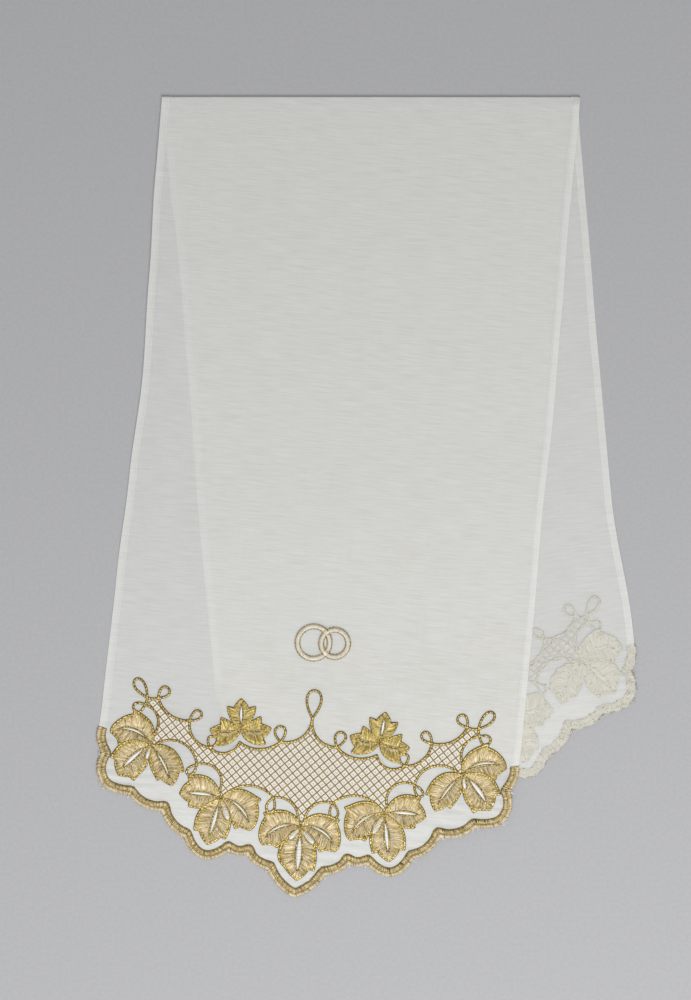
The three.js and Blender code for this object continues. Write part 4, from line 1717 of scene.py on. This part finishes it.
@dataclass(frozen=True)
class RingPair:
    """Two interlocked wedding rings: dotted gold outlines with a thin pale fill."""

    # u and v of each ring's middle, and its outer and inner radius.
    rings: tuple[tuple[float, float, float, float], ...] = (
        (-6, 494, 16.8, 12.4),
        (13, 493, 14.5, 10),
    )
    # How far the second ring lies over the first.
    step: float = 0.12
    dash_pitch: float = 2.9
    dash: float = 1.7
    fill_pitch: float = 0.8
    # How far the fill's stitches lean, in turns about the middle.
    zigzag: float = 0.09

    def work(self, needle: Needle) -> None:
        """Works the rings.

        Args:
            needle: takes the stitches.
        """
        for number, (u, v, outer, inner) in enumerate(self.rings):
            middle = np.array([u, v])
            lift = self.step * number
            for radius in (outer, inner):
                self._dashes(needle, middle, radius, lift)
            count = int(2 * math.pi * (outer + inner) / 2 / self.fill_pitch)
            turn = np.linspace(0, 2 * math.pi, count, endpoint=False)
            skew = self.zigzag * np.where(np.arange(count) % 2, 1, -1)
            starts = middle + (outer - 0.5) * round_ways(turn + skew)
            ends = middle + (inner + 0.5) * round_ways(turn - skew)
            # White and pale gold stitches by turns.
            for first, tone, thread in ((0, 0.96, Thread.COTTON), (1, 1.0, Thread.PALE)):
                needle.satin(
                    starts[first::2],
                    ends[first::2],
                    height=0.2,
                    tone=tone,
                    thread=thread,
                    lift=lift,
                    width=1.05,
                )

    def _dashes(self, needle: Needle, middle: Array, radius: float, lift: float) -> None:
        """Lays the dotted outline of a ring.

        Args:
            needle: takes the stitches.
            middle: the ring's middle.
            radius: the outline's radius.
            lift: height of the thread's foot off the cloth.
        """
        count = int(2 * math.pi * radius / self.dash_pitch)
        starts = np.linspace(0, 2 * math.pi, count, endpoint=False)
        turn = starts[:, None] + np.linspace(0, self.dash / radius, 4)[None]
        paths = middle + radius * round_ways(turn)
        tone = np.clip(needle.random.normal(0.5, 0.14, (count, 1)), 0.05, 1)
        needle.stitches.lay(
            paths, width=1.1, height=0.42, lift=lift + 0.28, tone=tone, section=SATIN_SECTION
        )


@dataclass
class Towel:
    """The whole towel: the cloth, its hems, and both embroidered ends."""

    form: ClothForm
    # The cloth's grid: its columns, its rows down to end_v, and the finer ones of the end.
    column_step: float = 3.7
    plain_step: float = 8.5
    end_rows: int = 62
    end_v: float = 560.0
    fold_turns: tuple[float, ...] = (-75, -50, -25, 0, 25, 50, 75)
    # Laid out flat, in metres.
    flat: tuple[float, float] = (0.38, 1.375)
    flat_area: float = 0.507
    # The end grows stiffer from one v to another.
    stiff_v: tuple[float, float] = (590.0, 650.0)
    # The last scallops cut into the sides: beyond which u, and from which v on.
    side_pivot: float = 176.0
    side_cut_v: float = 639.5
    # The cloth ends just inside the stitched edge.
    raw_edge: float = 0.7
    hem_stitch: float = 2.6
    hem_seam: float = 1.1
    # The wrong side stands lower than the right one, by this share, and its stitches wander.
    wrong_side_share: float = 0.22
    wander: float = 0.6
    specks: int = 800
    pieces: list[bpy.types.Object] = field(default_factory=list)
    triangles: int = 0

    def columns(self) -> Array:
        """u of the cloth's columns, with one on either side of each hem's inner edge."""
        edge = scalloped_edge(self.column_step)
        right = np.maximum.accumulate(edge[len(edge) // 2 :, 0])
        start = HALF_WIDTH - HEM_WIDTH
        right = np.unique(np.round(np.concatenate([right, [start - 0.9, start + 0.3]]), 3))
        right = right[np.concatenate([[True], np.diff(right) > 0.25])]
        right[-1] = HALF_WIDTH
        return np.concatenate([-right[:0:-1], right])

    def edge_v(self, u: Array) -> Array:
        """v of the cloth's raw edge, just inside the stitched one."""
        edge = scalloped_edge(1.0)
        right = edge[len(edge) // 2 :]
        end = np.abs(self.drawn_in(u, np.array(self.side_cut_v)))
        return np.interp(end, np.maximum.accumulate(right[:, 0]), right[:, 1]) - self.raw_edge

    def drawn_in(self, u: Array, v: Array) -> Array:
        """u of places on the cloth, drawn in where the last scallops cut into its sides.

        Args:
            u: across the cloth, as if its sides ran straight.
            v: along the cloth.

        Returns:
            u, drawn in.
        """
        edge = scalloped_edge(1.0)
        low = edge[(edge[:, 0] > 0) & (edge[:, 1] <= self.side_cut_v)][::-1]
        left_over = np.interp(v, low[:, 1], low[:, 0]) - self.side_pivot
        beyond = np.maximum(np.abs(u) - self.side_pivot, 0)
        drawn = beyond * (left_over / (HALF_WIDTH - self.side_pivot))
        return np.sign(u) * (np.minimum(np.abs(u), self.side_pivot) + drawn)

    def half_rows(self, plan: HalfPlan, u: Array) -> Array:
        """v of every row of one half, from the fold to the edge.

        Args:
            plan: the half.
            u: the columns.

        Returns:
            v for each row and column.
        """
        fold = plan.fold_v(u)
        count = int(round((self.end_v - plan.short) / self.plain_step))
        plain = np.linspace(0, 1, count + 1)[:, None]
        end = np.linspace(0, 1, self.end_rows + 1)[1:, None]
        rows = fold + plain * (self.end_v - fold)
        return np.concatenate([rows, self.end_v + end * (self.edge_v(u) - self.end_v)])

    def cloth_grid(self) -> tuple[Array, Array, Array, Array]:
        """The right and the wrong face of the cloth, from the back half's edge round the fold.

        Returns:
            The points of the right face and of the wrong face, u, and the way along the cloth.
        """
        u = self.columns()
        faces: dict[Half, tuple[Array, Array, Array]] = {}
        for plan in (BACK, FRONT):
            v = self.half_rows(plan, u)
            across = self.drawn_in(np.broadcast_to(u, v.shape), v)
            x, y = plan.place(across, v)
            middle = self.form.middle(plan, across, v)
            half = self.form.half_thickness(across, v) * (1 if plan.half is Half.FRONT else -1)
            outer = np.stack([x, y, middle + half], axis=2)
            inner = np.stack([x, y, middle - half], axis=2)
            faces[plan.half] = (outer, inner, v - plan.short)
        back, front = faces[Half.BACK], faces[Half.FRONT]
        turns = np.radians(self.fold_turns)[:, None]
        bends = []
        for face in (0, 1):
            low, high = back[face][0], front[face][0]
            radius = (high[:, 2] - low[:, 2]) / 2
            y = low[:, 1] + np.abs(radius) * np.cos(turns)
            z = low[:, 2] + radius * (1 + np.sin(turns))
            bends.append(np.stack([np.broadcast_to(low[:, 0], y.shape), y, z], axis=2))
        outer = np.concatenate([back[0][::-1], bends[0], front[0]])
        inner = np.concatenate([back[1][::-1], bends[1], front[1]])
        bend_along = np.sin(turns) * np.ones(len(u))
        along = np.concatenate([-back[2][::-1], bend_along, front[2]])
        return outer, inner, np.broadcast_to(u, along.shape), along

    def cloth(self) -> bpy.types.Object:
        """Makes the cloth as one closed sheet.

        Returns:
            The object.
        """
        outer, inner, u, along = self.cloth_grid()
        rows, columns = u.shape
        index = np.arange(rows * columns).reshape(rows, columns)
        quads = np.stack([index[:-1, :-1], index[:-1, 1:], index[1:, 1:], index[1:, :-1]], axis=2)
        offset = rows * columns
        rim = np.concatenate([index[0], index[1:, -1], index[-1, -2::-1], index[-2:0:-1, 0]])
        rim_next = np.roll(rim, -1)
        side = np.stack([rim, rim + offset, rim_next + offset, rim_next], axis=1)
        upper = quads.reshape(-1, 4)
        faces = np.concatenate([upper, upper[:, ::-1] + offset, side])
        middle_u = np.abs((u[:-1, 1:] + u[:-1, :-1]) / 2)
        in_hem = (middle_u > HALF_WIDTH - HEM_WIDTH - 0.3).ravel().astype(int)
        ids = np.concatenate([in_hem, in_hem, np.ones(len(side), int)])
        points = np.concatenate([outer.reshape(-1, 3), inner.reshape(-1, 3)])
        made = mesh_object("towel_linen", points, [faces], [ids], [LINEN.make(), LINEN_HEM.make()])
        spread = np.stack([u.ravel(), along.ravel()], axis=1) * MM + 1.0
        uv = made.data.uv_layers.new(name="cloth")
        corner = np.zeros(len(made.data.loops), np.int32)
        made.data.loops.foreach_get("vertex_index", corner)
        uv.data.foreach_set("uv", np.tile(spread, (2, 1))[corner].astype(np.float32).ravel())
        v = np.where(along < 0, BACK_SHORT - along, along).ravel()
        set_point_values(made, "stiff", np.tile(ease(*self.stiff_v, v), 2))
        return made

    def add(self, piece: bpy.types.Object, slot: str, nodes: list[str]) -> bpy.types.Object:
        """Takes a piece into the towel.

        Args:
            piece: the piece.
            slot: its material slot in the record; not used.
            nodes: the solids that it stands for.

        Returns:
            The piece.
        """
        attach(piece, "root")
        if nodes:
            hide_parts(*nodes)
        triangles = sum(len(face.vertices) - 2 for face in piece.data.polygons)
        LOG.info("%s: %d triangles", piece.name, triangles)
        self.triangles += triangles
        self.pieces.append(piece)
        return piece

    def hem_stitches(self, cotton: bpy.types.Material) -> None:
        """Sews the side hems with a fine running stitch.

        Args:
            cotton: the thread's material.
        """
        for plan in (FRONT, BACK):
            needle = Needle(Hand(), 31 if plan is FRONT else 32)
            side = Side.RIGHT if plan is FRONT else Side.WRONG
            seam = HALF_WIDTH - HEM_WIDTH + self.hem_seam
            for u in (-seam, seam):
                start = plan.fold_v(np.array(u * plan.side)) + 4
                v = np.arange(start, HEM_END_V - 2, self.hem_stitch)
                long = np.array([0, 0.68 * self.hem_stitch])
                paths = np.stack([np.full((len(v), 2), u), v[:, None] + long], axis=2)
                needle.stitches.lay(paths, width=0.34, height=0.14, tone=0.8)
            name = f"{plan.half.value}_hem_stitches"
            self.add(needle.stitches.make(name, self.form, plan, side, [cotton]), "linen", [])

    def end(
        self, plan: HalfPlan, hand: Hand, seed: int, threads: list[bpy.types.Material]
    ) -> None:
        """Works the embroidery of one end on its right side.

        Args:
            plan: the half.
            hand: how closely it is worked.
            seed: for the unevenness.
            threads: the gold, the pale gold, the white and the cream thread.
        """
        prefix = plan.half.value

        def take(needle: Needle, name: str, slot: str, *nodes: str) -> None:
            """Makes a piece of the stitches, and takes it into the towel."""
            full = f"{prefix}_{name}_stitching"
            made = needle.stitches.make(full, self.form, plan, Side.RIGHT, threads)
            self.add(made, slot, [f"{prefix}_{node}" for node in nodes])

        needle = Needle(hand, seed)
        ScallopedBand().work(needle)
        take(needle, "edge", "gold_thread", "scalloped_edge")
        needle = Needle(hand, seed + 1)
        for mirror in SIDE_WORDS:
            UPPER_VINE.work(needle, mirror)
        UPPER_VINE.loop(needle, CENTRE_LOOP)
        take(needle, "upper_vine", "gold_thread", "upper_vine")
        for number, vine in enumerate(SIDE_VINES):
            for mirror, word in SIDE_WORDS.items():
                needle = Needle(hand, seed + 2 + 2 * number + (mirror > 0))
                vine.work(needle, mirror)
                name = f"{vine.name}_{word}"
                take(needle, name, "gold_thread", name)
        needle = Needle(hand, seed + 6)
        Lattice().work(needle)
        take(needle, "lattice", "gold_thread")
        needle = Needle(hand, seed + 7)
        RingPair().work(needle)
        take(needle, "rings", "pale_gold_thread", "rings")
        for number, leaf in enumerate(LEAVES):
            for mirror in leaf.sides:
                needle = Needle(hand, seed + 8 + 2 * number + (mirror > 0))
                leaf.work(needle, mirror)
                name = leaf.name if leaf.u == 0 else f"{leaf.name}_{SIDE_WORDS[mirror]}"
                take(needle, name, "pale_gold_thread", name)

    def wrong_side(self, threads: list[bpy.types.Material]) -> None:
        """Works the wrong side of the back end, in bobbin thread with specks of gold.

        Args:
            threads: the bobbin thread and the gold thread.
        """
        vine_side, leaf_side = Needle(WRONG_HAND, 71), Needle(WRONG_HAND, 72)
        ScallopedBand().work(vine_side)
        for mirror in SIDE_WORDS:
            for vine in (UPPER_VINE, *SIDE_VINES):
                vine.work(vine_side, mirror)
        UPPER_VINE.loop(vine_side, CENTRE_LOOP)
        Lattice(under_width=0).work(vine_side)
        RingPair().work(vine_side)
        for leaf in LEAVES:
            for mirror in leaf.sides:
                leaf.work(leaf_side, mirror)
        for needle, part in ((vine_side, "vine"), (leaf_side, "leaves")):
            needle.stitches.work_all_in(WrongThread.BOBBIN)
            for places in needle.stitches.points:
                self._loosen(places)
            self._specks(needle)
            name = f"back_wrong_side_{part}"
            made = needle.stitches.make(name, self.form, BACK, Side.WRONG, threads)
            self.add(made, "linen", [])

    def _loosen(self, places: Array) -> None:
        """Flattens stitches and lets them wander, as they lie loosely on the wrong side.

        Args:
            places: u, v and height of their points, one row each.
        """
        u, v = places[:, 0].copy(), places[:, 1].copy()
        # Waves of a stitch's own size, whose bends differ so that no pattern shows.
        places[:, 0] += self.wander * np.sin(v / 1.9 + 1.4 * np.sin(u / 2.6))
        places[:, 1] += self.wander * np.sin(u / 1.7 + 1.8 * np.sin(v / 3.1))
        places[:, 2] *= self.wrong_side_share

    def _specks(self, needle: Needle) -> None:
        """Pulls short loops of the gold thread through to the wrong side.

        Args:
            needle: takes the stitches.
        """
        places = np.concatenate(needle.stitches.points)
        picks = needle.random.choice(len(places), self.specks, replace=False)
        start = places[picks, :2]
        turn = needle.random.uniform(0, 2 * math.pi, len(picks))
        share = np.linspace(0, 0.95, 3)[None, :, None]
        paths = start[:, None] + share * round_ways(turn)[:, None]
        lift = places[picks, 2][:, None] + 0.02
        needle.stitches.lay(
            paths, width=0.42, height=0.18, lift=lift, tone=0.7, thread=WrongThread.GOLD
        )


@dataclass
class Studio:
    """The floor, the light and the camera straight above, in metres."""

    floor_size: float = 9.0
    camera_height: float = 3.0
    camera_x: float = -0.0195
    camera_y: float = -0.0026
    # How much of the floor the picture shows from top to bottom.
    view_height: float = 0.9026
    # In millimetres.
    sensor: float = 36.0
    world_colour: str = "F4F5F7"
    world_strength: float = 0.445
    # In watts.
    key_power: float = 64.0
    key_size: float = 1.6
    key_place: tuple[float, float, float] = (0.35, -1.75, 2.05)

    def floor(self) -> None:
        """Lays the pale floor."""
        bpy.ops.object.select_all(action="DESELECT")
        bpy.ops.mesh.primitive_plane_add(size=self.floor_size, location=(0, 0, 0))
        floor = bpy.context.object
        floor.name = "floor"
        floor.data.materials.append(PaperFinish().make())

    def lights(self) -> None:
        """Sets the soft studio light, a little stronger from the towel's end."""
        world = bpy.data.worlds.new("studio")
        bpy.context.scene.world = world
        world.use_nodes = True
        background = world.node_tree.nodes["Background"]
        background.inputs["Color"].default_value = linear(self.world_colour)
        background.inputs["Strength"].default_value = self.world_strength
        bpy.ops.object.light_add(type="AREA", location=self.key_place)
        key = bpy.context.object
        key.name = "key_light"
        key.data.size = self.key_size
        key.data.energy = self.key_power
        away = math.hypot(self.key_place[0], self.key_place[1])
        tilt = math.atan2(away, self.key_place[2])
        spin = math.atan2(self.key_place[0], -self.key_place[1])
        key.rotation_euler = (tilt, 0, spin)

    def camera(self) -> None:
        """Sets the camera straight above, with the photo's frame."""
        data = bpy.data.cameras.new("camera")
        camera = bpy.data.objects.new("camera", data)
        bpy.context.scene.collection.objects.link(camera)
        camera.location = (self.camera_x, self.camera_y, self.camera_height)
        data.sensor_width = self.sensor
        data.sensor_fit = "AUTO"
        data.lens = self.sensor * self.camera_height / self.view_height
        data.clip_end = 50
        bpy.context.scene.camera = camera
        bpy.context.scene.view_settings.view_transform = "Standard"


def main() -> None:
    """Builds the towel piece by piece, and the studio round it."""
    logging.basicConfig(level=logging.INFO, format="%(message)s")
    studio = Studio()
    studio.camera()
    studio.floor()
    studio.lights()
    towel = Towel(ClothForm())
    cloth = towel.add(towel.cloth(), "linen", ["towel_cloth"])
    threads = [finish.make() for finish in (GOLD, PALE_GOLD, COTTON, CREAM)]
    towel.hem_stitches(threads[Thread.COTTON])
    towel.end(FRONT, Hand(), 100, threads)
    towel.end(BACK, HIDDEN_HAND, 200, threads)
    towel.wrong_side([BOBBIN.make(), threads[Thread.GOLD]])
    LOG.info("%d pieces, %d triangles", len(towel.pieces), towel.triangles)


if __name__ == "__main__":
    main()
